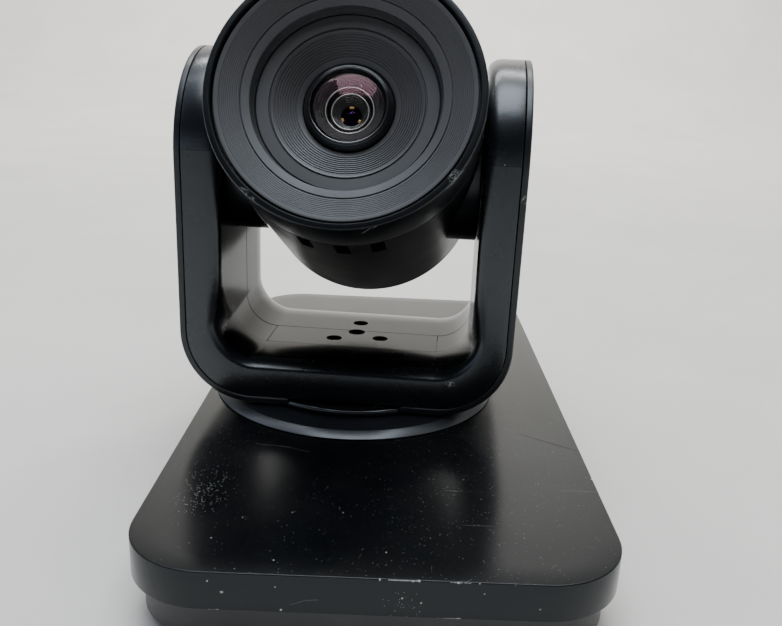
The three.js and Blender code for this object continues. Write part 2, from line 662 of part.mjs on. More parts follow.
add('iris_ring', 'gloss', ring2(3.4, 14.1, 14.4, 15.6, 20), onHead);
const focusCarrier = turnHead([
  [7.2, 2], [14.1, 2], [14.1, 7], [7.2, 7],
], 20);
add('focus_carrier', 'plastic', focusCarrier, onHead);
const focusGlass = turnHead([[0, 2.6], [6.9, 3.6], [6.9, 5.4], [0, 6.6]], 20);
add('focus_element', 'glass', focusGlass, onHead);
add('image_sensor', 'gloss', block(-5.6, 5.6, 15.6, 18.4, -5.6, 5.6), onHead);
add('sensor_board', 'board', block(-19, 19, 18.7, 20.3, -19, 19), onHead);

// Hubs: round drums on the barrel's flanks with hollow axles that run in the arm bearings.
const barrelSpace = solid(turnHead(
  [[0, -60], [RIM_R + GAP, -60], [RIM_R + GAP, 60], [0, 60]], 40));
const hubFace = WIN_W - GAP;
function hub(hollow) {
  const drum = cut(
    solid(turnX([[0, 34], [HUB_R, 34], [HUB_R, hubFace - 0.8], [HUB_R - 0.8, hubFace],
      [0, hubFace]], 32)),
    barrelSpace);
  const plug = solid(turnX(rod(HUB_R - 1.8, 39.5, hubFace), 32));
  const hollowOut = hollow
    ? solid(turnX(rod(HUB_R - 3.6, hubFace - GEAR_T - 1, 60), 28))
    : solid(turnX(tube(AXLE_R + 2, HUB_R - 3.6, 30, hubFace - 2.4), 28));
  const axle = solid(turnX(rod(AXLE_R, 41, WIN_W + SHELL_T + 6.5), 20));
  const bore = solid(turnX(rod(AXLE_R - 2.4, 30, 70), 16));
  return cut(join(cut(join(drum, plug), hollowOut), axle), bore);
}
const shaftHole = solid(turnX(rod(2.7, 30, 60), 16)).translate([0, tiltDistance, 0]);
add('right_hub', 'satin', cut(hub(true), shaftHole), onHead);
add('left_hub', 'satin', hub(false).mirror([1, 0, 0]), onHead);

const tiltPinion = join(
  solid(prism(gearOutline(TILT_PINION, TILT_MODULE, tiltPhase), hubFace - GEAR_T, hubFace)
    .rotateY(Math.PI / 2)),
  solid(turnX(rod(2.2, 37.4, hubFace), 14)),
);
add('tilt_pinion', 'brass', tiltPinion, onHead).position.y = tiltDistance;

const tiltMotor = turnX([[0, 21], [9.5, 21], [10, 21.5], [10, 36.6], [9.5, 37.1], [0, 37.1]], 24);
add('tilt_motor', 'steel', tiltMotor, onHead).position.y = tiltDistance;

export default camera;
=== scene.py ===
"""Looks for the pan-tilt-zoom camera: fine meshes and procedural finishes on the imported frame."""
import json
from math import acos, asin, atan2, cos, degrees, hypot, pi, radians, sin, sqrt, tan
import bmesh
import bpy
from mathutils import Matrix, Vector


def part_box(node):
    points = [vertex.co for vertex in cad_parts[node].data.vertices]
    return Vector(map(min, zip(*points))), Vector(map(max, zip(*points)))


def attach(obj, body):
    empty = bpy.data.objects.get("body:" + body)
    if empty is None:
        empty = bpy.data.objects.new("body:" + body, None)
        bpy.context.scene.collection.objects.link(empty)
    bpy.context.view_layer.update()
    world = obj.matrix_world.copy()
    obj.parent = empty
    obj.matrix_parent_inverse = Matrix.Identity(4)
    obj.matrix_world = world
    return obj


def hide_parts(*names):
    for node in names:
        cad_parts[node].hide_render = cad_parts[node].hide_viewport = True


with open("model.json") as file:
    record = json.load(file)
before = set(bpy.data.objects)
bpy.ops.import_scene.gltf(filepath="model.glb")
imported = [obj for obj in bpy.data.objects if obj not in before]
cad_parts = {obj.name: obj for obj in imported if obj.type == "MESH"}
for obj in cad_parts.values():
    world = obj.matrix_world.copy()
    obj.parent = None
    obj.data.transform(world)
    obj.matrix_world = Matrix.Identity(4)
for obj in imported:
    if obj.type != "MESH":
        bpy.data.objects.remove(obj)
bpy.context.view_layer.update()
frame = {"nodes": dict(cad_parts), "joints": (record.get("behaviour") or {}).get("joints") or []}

MM = 0.001
joints = {j["name"]: j for j in frame["joints"]}

# ---- frames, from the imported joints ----
pan_pos = Vector(joints["pan"]["pos_m"])
tilt_pos = Vector(joints["tilt"]["pos_m"])
tilt_axis = Vector(joints["tilt"]["axis"])
rear_axis = Vector(joints["zoom_slide"]["axis"])
cover_low, cover_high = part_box("base_top_cover")

BASE_FRAME = Matrix.Translation(((cover_low.x + cover_high.x) / 2, 0, 0))
PAN_FRAME = Matrix.Translation(pan_pos)
TURN = Matrix.Rotation(atan2(tilt_axis.y, tilt_axis.x), 4, "Z")
TIP = Matrix.Rotation(-acos(sqrt(1 - rear_axis.z ** 2)), 4, "X")
YOKE_FRAME = PAN_FRAME @ TURN
HEAD_FRAME = Matrix.Translation(tilt_pos) @ TURN @ TIP
WORLD = Matrix.Identity(4)

# ---- dimensions, mm ----
GAP = 0.3
BASE_W, BASE_L, BASE_R = 150.0, 286.0, 25.5
TOP_Z, COVER_H, COVER_T = 27.5, 12.3, 2.2
LOWER_INSET, LOWER_Z, LOWER_T = 3.8, 2.6, 2.4
PAN_OFF_X, PAN_OFF_Y = -13.5, 2.9
YOKE_W, YOKE_D, YOKE_Z, YOKE_R, SIDE_T = 65.5, 40.2, 4.0, 28.45, 2.75
WIN_W, WIN_Z, WIN_R, WIN_FILLET = 49.2, 23.3, 14.0, 5.5
FLARE_DEPTH, FLARE_LOW, FLARE_TOP = 22.0, 60.0, 88.0
SILL_DEPTH, SILL_LOW, SILL_TOP = 21.0, 30.0, 52.0
SHELL_T, SPLIT_Y, CAP_Z, TILT_Z = 2.3, 1.8, 103.0, 100.0
PANEL_X, PANEL_Y = 35.5, -19.0
SEAM_W, SEAM_Z, SEAM_R = YOKE_W - SIDE_T, YOKE_Z + SIDE_T, YOKE_R - SIDE_T
HUB_R, AXLE_R = 32.0, 7.0
RIM_R, REAR_R, RIM_FRONT, SEAM, REAR = 48.3, 47.45, 62.8, 42.0, -43.8
FACE_R, LIP_FACE_R, LIP_FACE = 45.3, 33.3, 58.1
WELL_R, WELL, GROOVE_R, GLASS_R, GLASS = 32.1, 53.5, 27.4, 16.2, 47.8
LIP_R, LIP_Z, LIP_H, NECK_R = 45.7, 3.4, 2.25, 30.0
SCREW_CIRCLE, SCREW_ANGLES = 13.0, (89, 229, 328)
VENT_ANGLES = (-106.5, -90, -74.5)
SHARP = 38.0             # degrees; steeper edges are shaded sharp
CORNER, RISE = 20, 10    # points on a U outline's corner and on its arm


# ---- mesh tools ----
def rounded(points, seg=4, closed=True):
    """Polyline whose corners are rounded where a point has a third value, the radius."""
    out = []
    n = len(points)
    for i, point in enumerate(points):
        here = Vector(point[:2])
        r = point[2] if len(point) > 2 else 0
        if r <= 0 or (not closed and i in (0, n - 1)):
            out.append(tuple(here))
            continue
        back = Vector(points[i - 1][:2]) - here
        ahead = Vector(points[(i + 1) % n][:2]) - here
        half = back.angle(ahead) / 2
        if half > pi / 2 - 0.01:
            out.append(tuple(here))
            continue
        reach = min(r / tan(half), back.length * 0.48, ahead.length * 0.48)
        r = reach * tan(half)
        centre = here + (back.normalized() + ahead.normalized()).normalized() * (r / sin(half))
        a = here + back.normalized() * reach - centre
        b = here + ahead.normalized() * reach - centre
        sweep = a.angle(b)
        for k in range(seg + 1):
            f = k / seg
            v = (a * sin((1 - f) * sweep) + b * sin(f * sweep)) / sin(sweep)
            out.append(tuple(centre + v))
    return out


def build(name, verts, faces, material, matrix, sharp=SHARP):
    """Mesh piece from millimetre points in a local frame."""
    mesh = bpy.data.meshes.new(name)
    mesh.from_pydata([Vector(v) * MM for v in verts], [], faces)
    bm = bmesh.new()
    bm.from_mesh(mesh)
    bmesh.ops.remove_doubles(bm, verts=bm.verts, dist=1e-7)
    bmesh.ops.dissolve_degenerate(bm, edges=bm.edges, dist=1e-8)
    bmesh.ops.recalc_face_normals(bm, faces=bm.faces)
    if bm.calc_volume(signed=True) < 0:
        bmesh.ops.reverse_faces(bm, faces=bm.faces)
    bm.to_mesh(mesh)
    bm.free()
    obj = bpy.data.objects.new(name, mesh)
    bpy.context.scene.collection.objects.link(obj)
    obj.matrix_world = matrix
    mesh.materials.append(material)
    smooth(obj, sharp)
    return obj


def smooth(obj, sharp=SHARP):
    obj.data.shade_smooth()
    obj.data.set_sharp_from_angle(angle=radians(sharp))
    return obj


AXES = {
    "z": lambda r, h, t: (r * cos(t), r * sin(t), h),
    "head": lambda r, h, t: (r * cos(t), -h, r * sin(t)),
    "x": lambda r, h, t: (h, r * cos(t), r * sin(t)),
}


def lathe(name, profile, material, matrix, axis="z", steps=160, sharp=SHARP, at=(0, 0, 0)):
    """Closed profile of radius and height turned about an axis."""
    place = AXES[axis]
    verts, rings = [], []
    for r, h in profile:
        if r < 1e-6:
            rings.append([len(verts)] * steps)
            verts.append(place(0, h, 0))
        else:
            rings.append(list(range(len(verts), len(verts) + steps)))
            verts.extend(place(r, h, 2 * pi * k / steps) for k in range(steps))
    faces = []
    open_ends = profile[0][0] < 1e-6 and profile[-1][0] < 1e-6
    count = len(rings) - 1 if open_ends else len(rings)
    for i in range(count):
        a, b = rings[i], rings[(i + 1) % len(rings)]
        for k in range(steps):
            m = (k + 1) % steps
            quad = [a[k], a[m], b[m], b[k]]
            face = [v for j, v in enumerate(quad) if v not in quad[:j]]
            if len(face) > 2:
                faces.append(face)
    verts = [(x + at[0], y + at[1], z + at[2]) for x, y, z in verts]
    return build(name, verts, faces, material, matrix, sharp)


def loft(name, rings, material, matrix, loop=False, sharp=SHARP):
    """Closed skin through rings of equal count."""
    n = len(rings[0])
    verts = [v for ring in rings for v in ring]
    faces = []
    for k in range(len(rings) if loop else len(rings) - 1):
        a, b = k * n, ((k + 1) % len(rings)) * n
        faces.extend([a + i, a + (i + 1) % n, b + (i + 1) % n, b + i] for i in range(n))
    if not loop:
        faces.append(list(range(n))[::-1])
        faces.append([(len(rings) - 1) * n + i for i in range(n)])
    return build(name, verts, faces, material, matrix, sharp)


def applied(obj, sharp=SHARP):
    """Bakes an object's modifiers into its mesh."""
    bpy.context.view_layer.update()
    shape = obj.evaluated_get(bpy.context.evaluated_depsgraph_get())
    mesh = bpy.data.meshes.new_from_object(shape)
    obj.modifiers.clear()
    obj.data = mesh
    return smooth(obj, sharp)


def boolean(obj, tools, sharp=SHARP):
    """Cuts a piece with helper solids, which are then removed."""
    for tool in tools:
        mod = obj.modifiers.new("cut", "BOOLEAN")
        mod.operation = "DIFFERENCE"
        mod.solver = "EXACT"
        mod.object = tool
    applied(obj, sharp)
    for tool in tools:
        bpy.data.objects.remove(tool)
    return obj


def bevel(obj, width, segments, limit):
    """Rounds the edges steeper than a limit in degrees."""
    mod = obj.modifiers.new("edge", "BEVEL")
    mod.width = width * MM
    mod.segments = segments
    mod.limit_method = "ANGLE"
    mod.angle_limit = radians(limit)
    mod.harden_normals = False
    return applied(obj)


def box_solid(name, low, high, material, matrix):
    (x0, y0, z0), (x1, y1, z1) = low, high
    ring = [(x0, y0), (x1, y0), (x1, y1), (x0, y1)]
    return loft(name, [[(x, y, z) for x, y in ring] for z in (z0, z1)], material, matrix)


def rod(name, r, h0, h1, material, matrix, axis="z", at=(0, 0, 0), steps=48):
    return lathe(name, [(0, h0), (r, h0), (r, h1), (0, h1)], material, matrix, axis, steps, at=at)


def round_rect(w, l, r, steps=20):
    out = []
    for cx, cy, start in ((1, 1, 0), (-1, 1, 90), (-1, -1, 180), (1, -1, 270)):
        for k in range(steps + 1):
            t = radians(start + 90 * k / steps)
            out.append((cx * (w / 2 - r) + r * cos(t), cy * (l / 2 - r) + r * sin(t)))
    return out


def u_outline(w, z, r, top):
    """U in X and Z, from the right arm's top round the bottom to the left arm's top."""
    out = [(w, top + (z + r - top) * k / RISE) for k in range(RISE)]
    for k in range(CORNER + 1):
        t = radians(360 - 90 * k / CORNER)
        out.append((w - r + r * cos(t), z + r + r * sin(t)))
    for k in range(CORNER + 1):
        t = radians(270 - 90 * k / CORNER)
        out.append((-w + r + r * cos(t), z + r + r * sin(t)))
    out.extend((-w, z + r + (top - z - r) * k / RISE) for k in range(1, RISE + 1))
    return out


# ---- finishes ----
class Finish:
    """Principled material with procedural layers in object coordinates, which are metres."""

    def __init__(self, name, rough=0.4, metallic=0.0, **sockets):
        self.mat = bpy.data.materials.new(name)
        self.mat.use_nodes = True
        self.tree = self.mat.node_tree
        self.bsdf = self.tree.nodes["Principled BSDF"]
        self.bsdf.inputs["Metallic"].default_value = metallic
        self.bsdf.inputs["Roughness"].default_value = rough
        for key, value in sockets.items():
            self.bsdf.inputs[key.replace("_", " ")].default_value = value
        self.coord = self.node("ShaderNodeTexCoord")
        self.p = self.coord.outputs["Object"]
        self.height = None

    def node(self, kind, inputs=None, **props):
        n = self.tree.nodes.new(kind)
        for key, value in props.items():
            setattr(n, key, value)
        for key, value in (inputs or {}).items():
            self.put(n.inputs[key], value)
        return n

    def put(self, socket, value):
        if isinstance(value, bpy.types.NodeSocket):
            self.tree.links.new(value, socket)
        else:
            socket.default_value = value

    def math(self, op, a, b=0.0, clamp=False):
        n = self.node("ShaderNodeMath", {0: a, 1: b}, operation=op)
        n.use_clamp = clamp
        return n.outputs[0]

    def times(self, a, b):
        return self.math("MULTIPLY", a, b)

    def below(self, a, b):
        return self.math("LESS_THAN", a, b)

    def vec(self, op, a, b=(0, 0, 0), out="Vector"):
        return self.node("ShaderNodeVectorMath", {0: a, 1: b}, operation=op).outputs[out]

    def scaled(self, factors, turn=(0, 0, 0)):
        n = self.node("ShaderNodeMapping", {"Vector": self.p, "Scale": factors, "Rotation": turn})
        return n.outputs[0]

    def noise(self, scale, detail=3.0, rough=0.55, distortion=0.0, p=None):
        n = self.node("ShaderNodeTexNoise", {"Vector": p or self.p, "Scale": scale, "Detail": detail,
                                             "Roughness": rough, "Distortion": distortion})
        return n.outputs["Fac"]

    def cells(self, scale):
        return self.node("ShaderNodeTexVoronoi", {"Vector": self.p, "Scale": scale})

    def span(self, value, low, high, a=0.0, b=1.0):
        n = self.node("ShaderNodeMapRange", {0: value, 1: low, 2: high, 3: a, 4: b})
        n.clamp = True
        return n.outputs[0]

    def mix(self, fac, a, b):
        n = self.node("ShaderNodeMix", data_type="RGBA")
        self.put(n.inputs[0], fac)
        for socket, value in ((n.inputs[6], a), (n.inputs[7], b)):
            self.put(socket, value if isinstance(value, bpy.types.NodeSocket) else (*value, 1.0))
        return n.outputs[2]

    def blend(self, fac, a, b):
        n = self.node("ShaderNodeMix", data_type="FLOAT")
        for socket, value in ((n.inputs[0], fac), (n.inputs[2], a), (n.inputs[3], b)):
            self.put(socket, value)
        return n.outputs[0]

    def axis(self, k, source=None):
        n = self.node("ShaderNodeSeparateXYZ", {0: source or self.p})
        return n.outputs[k]

    def facing(self, direction, low=0.5, high=0.9):
        """1 where the surface faces a direction of its own frame."""
        dot = self.vec("DOT_PRODUCT", self.coord.outputs["Normal"], direction, "Value")
        return self.span(dot, low, high)

    def near(self, centre, radii, edge=0.35):
        """Soft ellipsoid of influence, all in millimetres."""
        off = self.vec("SUBTRACT", self.p, tuple(c * MM for c in centre))
        unit = self.vec("DIVIDE", off, tuple(r * MM for r in radii))
        return self.span(self.vec("LENGTH", unit, out="Value"), edge, 1.0, 1.0, 0.0)

    def segment(self, a, b, width):
        """Thin scratch between two points, in millimetres."""
        a, b = Vector(a) * MM, Vector(b) * MM
        along = b - a
        off = self.vec("SUBTRACT", self.p, tuple(a))
        t = self.vec("DOT_PRODUCT", off, tuple(along / along.length_squared), "Value")
        t = self.math("ADD", t, 0.0, clamp=True)
        foot = self.node("ShaderNodeVectorMath", {0: tuple(along)}, operation="SCALE")
        self.put(foot.inputs["Scale"], t)
        d = self.vec("LENGTH", self.vec("SUBTRACT", off, foot.outputs[0]), out="Value")
        wobble = self.span(self.noise(1800, 2), 0.35, 0.6, 0.25, 1.0)
        return self.below(d, self.times(wobble, width * MM))

    def blot(self, centre, size):
        """Small chip or fleck with a ragged edge, in millimetres."""
        off = self.vec("SUBTRACT", self.p, tuple(c * MM for c in centre))
        d = self.vec("LENGTH", off, out="Value")
        reach = self.span(self.noise(1300, 2, 0.7), 0.3, 0.7, 0.15 * size * MM, 1.25 * size * MM)
        return self.below(d, reach)

    def most(self, masks):
        out = masks[0]
        for m in masks[1:]:
            out = self.math("MAXIMUM", out, m)
        return out

    def finish(self, color=None, rough=None, height=None, depth=0.02):
        if color is not None:
            self.put(self.bsdf.inputs["Base Color"], color)
        if rough is not None:
            self.put(self.bsdf.inputs["Roughness"], rough)
        if height is not None:
            b = self.node("ShaderNodeBump", {"Height": height, "Distance": depth * MM})
            self.put(self.bsdf.inputs["Normal"], b.outputs[0])
        return self.mat


def tone(c, k):
    return tuple(min(1.0, v * k) for v in c)


def painted(name, color, rough, grain=1500.0, depth=0.006, dust=0.0, up=(0, 0, 1), blots=(),
            rubs=(), grit=(), lines=(), dark_lines=(), hair=0.25, chip=(0.42, 0.42, 0.40), pebble=0.0,
            level=0.5, tint=(0.89, 0.96, 1.0), painted_side_light=None):
    """Painted or moulded dark surface: grain, uneven gloss, hairlines, dust specks and placed wear, and an
    optional painted side light that lightens faces turned away from up.
    """
    f = Finish(name, rough, Specular_IOR_Level=level, Specular_Tint=(*tint, 1.0))
    cloud = f.noise(22, 4)
    base = f.mix(f.span(cloud, 0.35, 0.65), tone(color, 0.86), tone(color, 1.16))
    # painted light: faces turned away from up get a lighter base colour, for the light their sides catch
    if painted_side_light:
        base = f.mix(f.facing(up, 0.2, 0.7), painted_side_light, base)
    height = f.times(f.noise(grain, 2, 0.6), depth)
    if pebble:
        height = f.math("ADD", height, f.times(f.noise(430, 1, 0.5), pebble))
    gloss = f.span(f.noise(60, 5, 0.6), 0.3, 0.7, rough * 0.9, rough * 1.12)
    # hairline scratches in three directions
    hairs = []
    for turn, stretch, seed in ((0.3, 14, 1), (1.25, 11, 2), (2.2, 16, 3)):
        p = f.scaled((stretch, 900, 900), (0.2 * seed, 0.1 * seed, turn))
        hairs.append(f.span(f.noise(1.0, 1, 0.4, p=p), 0.755, 0.775))
    hairs = f.times(f.most(hairs), f.span(f.noise(16, 2), 0.48, 0.62, 0.0, hair))
    base = f.mix(hairs, base, (0.12, 0.125, 0.13))
    gloss = f.blend(hairs, gloss, 0.55)
    dots = []
    if dust:
        # specks: few cells of a voronoi pattern hold a small dot
        for scale, share, size in ((620, 0.06, 0.10), (1300, 0.07, 0.15), (2300, 0.05, 0.20)):
            v = f.cells(scale)
            pick, wide = f.axis(0, v.outputs["Color"]), f.axis(1, v.outputs["Color"])
            patch = f.span(f.noise(17 + scale / 300, 3), 0.42, 0.62, 0.2, 1.0)
            on = f.below(pick, f.times(patch, share * dust))
            r = f.times(f.math("ADD", wide, 0.25), size)
            dots.append(f.times(on, f.below(v.outputs["Distance"], r)))
        specks = f.times(f.most(dots), f.facing(up, 0.3, 0.8))
        film = f.times(f.span(f.noise(12, 5, 0.65), 0.4, 0.75, 0.0, 0.012 * dust),
                      f.facing(up, 0.5, 0.95))
        base = f.mix(film, base, (0.30, 0.29, 0.27))
        base = f.mix(f.times(specks, 0.6), base, (0.36, 0.36, 0.35))
        gloss = f.blend(specks, gloss, 0.8)
    masks = []
    for centre, size in blots:
        masks.append(f.blot(centre, size))
    for centre, radii in rubs:
        patchy = f.span(f.noise(1500, 2, 0.6), 0.50, 0.60)
        masks.append(f.times(f.near(centre, radii, 0.45), patchy))
    for centre, radii, share in grit:
        v = f.cells(2600)
        some = f.times(f.near(centre, radii, 0.0), share)
        on = f.below(f.axis(0, v.outputs["Color"]), some)
        masks.append(f.times(on, f.below(v.outputs["Distance"], 0.27)))
    for a, b, width in lines:
        masks.append(f.segment(a, b, width))
    if masks:
        wear = f.times(f.most(masks), 0.85)
        base = f.mix(wear, base, chip)
        gloss = f.blend(wear, gloss, 0.5)
    if dark_lines:
        dark = f.most([f.segment(a, b, width) for a, b, width in dark_lines])
        gloss = f.blend(dark, gloss, 0.9)
        base = f.mix(dark, base, (0.001, 0.001, 0.001))
    return f.finish(base, gloss, height, 1.0)


def plated(name, color, rough, direction="x", glow=0.0):
    """Bare metal: draw lines and stains; a faint glow stands in for light gathered by the lens."""
    f = Finish(name, rough, 1.0)
    k = {"x": (20, 900, 900), "y": (900, 20, 900), "z": (900, 900, 20)}[direction]
    drawn = f.noise(1.0, 3, 0.6, p=f.scaled(k))
    stain = f.noise(55, 4)
    base = f.mix(f.span(stain, 0.35, 0.7), tone(color, 0.8), color)
    gloss = f.blend(0.5, rough, f.span(drawn, 0.3, 0.7, rough * 0.75, rough * 1.35))
    if glow:
        f.put(f.bsdf.inputs["Emission Color"], base)
        f.bsdf.inputs["Emission Strength"].default_value = glow
    return f.finish(base, gloss, drawn, 0.004)


def moulded(name, color, rough, depth=0.012, grain=900.0):
    """Plain moulded plastic or rubber: spark-eroded grain and faint flow marks."""
    f = Finish(name, rough)
    flow = f.noise(30, 4, 0.6, 1.0)
    base = f.mix(f.span(flow, 0.35, 0.65), tone(color, 0.86), tone(color, 1.15))
    grainy = f.noise(grain, 3, 0.65)
    gloss = f.span(grainy, 0.35, 0.65, rough * 0.9, rough * 1.12)
    return f.finish(base, gloss, grainy, depth)


def circuit(name):
    """Solder mask with tracks and pads."""
    f = Finish(name, 0.45)
    v = f.cells(330)
    v.distance = "CHEBYCHEV"
    pads = f.below(v.outputs["Distance"], 0.16)
    wave = f.node("ShaderNodeTexWave", {"Vector": f.p, "Scale": 160, "Distortion": 6.0, "Detail": 1.0})
    tracks = f.span(wave.outputs["Fac"], 0.75, 0.8)
    base = f.mix(f.times(tracks, 0.5), (0.012, 0.07, 0.035), (0.03, 0.15, 0.07))
    base = f.mix(pads, base, (0.45, 0.36, 0.2))
    return f.finish(base, f.span(f.noise(400), 0.3, 0.7, 0.35, 0.55), tracks, 0.02)


def glassy(name, tint, coat_tint, ior):
    """Coated optical glass: colour only in the reflection, with a few dust motes."""
    f = Finish(name, 0.0, Transmission_Weight=1.0, IOR=ior, Specular_Tint=(*coat_tint, 1))
    v = f.cells(500)
    mote = f.times(f.below(f.axis(0, v.outputs["Color"]), 0.02),
                  f.below(v.outputs["Distance"], 0.15))
    base = f.mix(mote, tint, tone(tint, 0.55))
    return f.finish(base, f.blend(mote, 0.0, 0.5))


# ---- materials ----
FRONT = -BASE_L / 2
NOSE = -YOKE_D
COAT = (0.0016, 0.0021, 0.0030)
BLACK = (0.0040, 0.0048, 0.0064)
front_marks = ((-46.4, 24.7, 0.30), (-42.6, 21.3, 0.55), (-27.5, 23.6, 0.30), (-25.9, 16.1, 0.40),
               (8, 21.6, 0.40), (13.4, 20.2, 0.35), (31, 24, 0.25), (47, 19.5, 0.25), (1.6, 27.2, 0.40),
               (10.8, 27.2, 0.50), (12.6, 27.3, 0.4), (23.3, 27.2, 0.4), (29.4, 27.2, 0.3), (39.5, 27.2, 0.3))
top_marks = ((-49, -126, 0.30), (-42, -114, 0.25), (-27, -110, 0.22), (-11, -109, 0.22), (-4, -129, 0.25),
             (3, -130, 0.25), (-29, -136, 0.2))
front_lines = ((6.3, 14.5, 24.6, 15.4, 0.30), (-46.6, 15.2, -43.6, 15.3, 0.3), (4, 27.3, 12.5, 27.3, 0.14),
               (21, 27.3, 27, 27.3, 0.12), (-23.4, 17.9, -19, 19.6, 0.022), (-19, 19.6, -15.5, 19.9, 0.022))
coat = painted(
    "cover_coat", COAT, 0.21, grain=1900, depth=0.005, dust=1.7, level=0.25, hair=0.16,
    # painted light: the cover's side walls get a lighter base colour than its top
    painted_side_light=(0.0180, 0.0195, 0.0205), chip=(0.55, 0.55, 0.52),
    blots=[((x, FRONT, z), size) for x, z, size in front_marks]
    + [((x, y, TOP_Z), size) for x, y, size in top_marks] + [((75, -80, 27.2), 0.8)],
    grit=[((8.5, FRONT, 18), (7, 3, 6.5), 0.20), ((-58, -98, TOP_Z), (11, 20, 2), 0.22)],
    lines=[((xa, FRONT, za), (xb, FRONT, zb), width) for xa, za, xb, zb, width in front_lines]
    + [((-47, -63, TOP_Z), (-36, -64.4, TOP_Z), 0.022), ((-36, -64.4, TOP_Z), (-26, -68, TOP_Z), 0.016)],
    dark_lines=[((53.7, -45.4, TOP_Z), (73.9, -58.2, TOP_Z), 0.16)])
ring_coat = painted("ring_coat", (0.0085, 0.0098, 0.0130), 0.30, grain=1900, depth=0.006, dust=2.0,
                    level=0.85)
satin = painted("yoke_satin", BLACK, 0.27, grain=1300, depth=0.006, dust=0.8, level=0.74,
                hair=0.15, pebble=0.016,
                blots=[((42.1, NOSE, 17.8), 0.5), ((56.4, NOSE, 103.6), 0.35)],
                rubs=[((42.1, NOSE, 17.8), (2.2, 3, 1.6))])
liner = painted("window_satin", (0.0015, 0.0018, 0.0022), 0.17, grain=1500, depth=0.0008, dust=1.2,
                hair=0.15, level=0.11, tint=(0.80, 0.80, 0.79))
strip = painted("strip_satin", (0.009, 0.0098, 0.0108), 0.34, grain=1300, depth=0.008, dust=0.25,
                level=0.55, pebble=0.010, blots=[((61.4, NOSE, 91.3), 0.4)],
                rubs=[((-64, NOSE, 115.4), (1.6, 3, 3)), ((64.4, NOSE, 91.3), (1.4, 2, 2))])
RIM_Y = -62.0
head_paint = painted(
    "head_satin", (0.0036, 0.0040, 0.0050), 0.32, grain=1500, depth=0.007, hair=0.2, level=0.32,
    chip=(0.33, 0.37, 0.37), pebble=0.006,
    rubs=[((-31, RIM_Y, -37), (2.6, 1.6, 2.2)), ((-27.6, RIM_Y, -39.4), (1.6, 1.4, 1.4)),
          ((39, RIM_Y, -28), (3.0, 1.6, 3.6))],
    blots=[((-9.4, -43.8, -47.4), 0.3), ((-0.9, -34.7, -48.3), 0.3), ((4, -39.9, -48.1), 0.4),
           ((9.3, -39.7, -47.4), 0.3), ((16.5, -31.7, -45.4), 0.3), ((-10.6, -28.9, -47.1), 0.25),
           ((-0.1, -25.3, -48.3), 0.25), ((11.5, -27.3, -46.9), 0.3)],
    lines=[((36.7, -61.5, -31.4), (41.2, -61.0, -25.2), 0.35),
           ((37.8, -60.2, -30.2), (41.6, -59.6, -24.6), 0.16),
           ((8.8, -56.8, -47.5), (11.9, -61.5, -46.8), 0.16),
           ((11.9, -61.5, -46.8), (15.1, -62.8, -45.9), 0.16)])
FACE = (0.047, 0.0455, 0.047)
face_plastic = painted("face_plastic", FACE, 0.42, grain=2200, depth=0.005, hair=0.06)
well_plastic = painted("well_plastic", FACE, 0.38, grain=2200, depth=0.005, hair=0.06)
lower_plastic = moulded("lower_plastic", (0.038, 0.039, 0.0395), 0.46)
inner_plastic = moulded("inner_plastic", (0.004, 0.004, 0.0044), 0.36, 0.006)
funnel_plastic = moulded("funnel_plastic", (0.030, 0.032, 0.030), 0.40, 0.006)
gloss_black = painted("gloss_black", (0.003, 0.003, 0.0034), 0.09, grain=900, depth=0.001, hair=0.1,
                      level=1.0)
bore_gloss = painted("bore_gloss", (0.024, 0.024, 0.026), 0.20, grain=900, depth=0.002, hair=0.1,
                     level=0.9)
window_gloss = painted("window_gloss", (0.012, 0.003, 0.004), 0.06, grain=900, depth=0.001, hair=0.2)
neck_gloss = painted("neck_gloss", (0.003, 0.0035, 0.0045), 0.12, grain=1800, depth=0.001, dust=1.4,
                     level=1.0)
rubber = moulded("foot_rubber", (0.012, 0.012, 0.012), 0.75, 0.03, 700)
steel = plated("plated_steel", (0.55, 0.56, 0.58), 0.32)
dark_steel = plated("blackened_steel", (0.055, 0.056, 0.06), 0.36)
plate_steel = painted("plate_paint", (0.02, 0.021, 0.023), 0.5, grain=1200, depth=0.012, up=(0, 0, -1))
# painted light: these edge metals glow faintly, a painted highlight standing in for light gathered inside the
# lens
edge_metal = plated("polished_edge_painted_glow", (0.60, 0.60, 0.58), 0.20, glow=0.30)
edge_dark = plated("dark_edge", (0.16, 0.16, 0.165), 0.16)
warm_edge_painted_glow = plated("warm_edge_painted_glow", (0.42, 0.36, 0.27), 0.25, glow=0.15)
brass = plated("machined_brass", (0.72, 0.50, 0.22), 0.25)
# painted reflection: glowing amber metal for the tabs that stand in for glints inside the lens
amber_glint = plated("amber_glint_tab", (0.80, 0.45, 0.17), 0.28, glow=0.25)
alloy = plated("sink_alloy", (0.62, 0.63, 0.65), 0.35, "y")
nylon = moulded("gear_nylon", (0.62, 0.60, 0.53), 0.45, 0.008)
board = circuit("solder_mask")
chip_black = moulded("chip_black", (0.012, 0.012, 0.013), 0.5, 0.006)
front_glass = glassy("front_glass", (0.98, 0.98, 0.98), (1.0, 0.42, 0.55), 1.24)
green_glass = glassy("green_glass", (0.97, 0.98, 0.97), (0.75, 0.68, 0.74), 1.09)
violet_glass = glassy("violet_glass", (0.80, 0.72, 0.95), (0.55, 0.20, 1.0), 1.45)
contact_gold = plated("contact_gold", (0.85, 0.62, 0.28), 0.2)


def piece(obj, body, slot, *nodes):
    """Registers a finished piece: what it rides on and the CAD nodes it stands for; its slot is not used."""
    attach(obj, body)
    if nodes:
        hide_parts(*nodes)
    return obj


# ---- base ----
def shell_rings(levels, steps=24):
    """Rounded-rectangle rings: each level is an inset from the cover's outline and a height."""
    return [[(x, y, z) for x, y in round_rect(BASE_W - 2 * i, BASE_L - 2 * i, BASE_R - i, steps)]
            for i, z in levels]


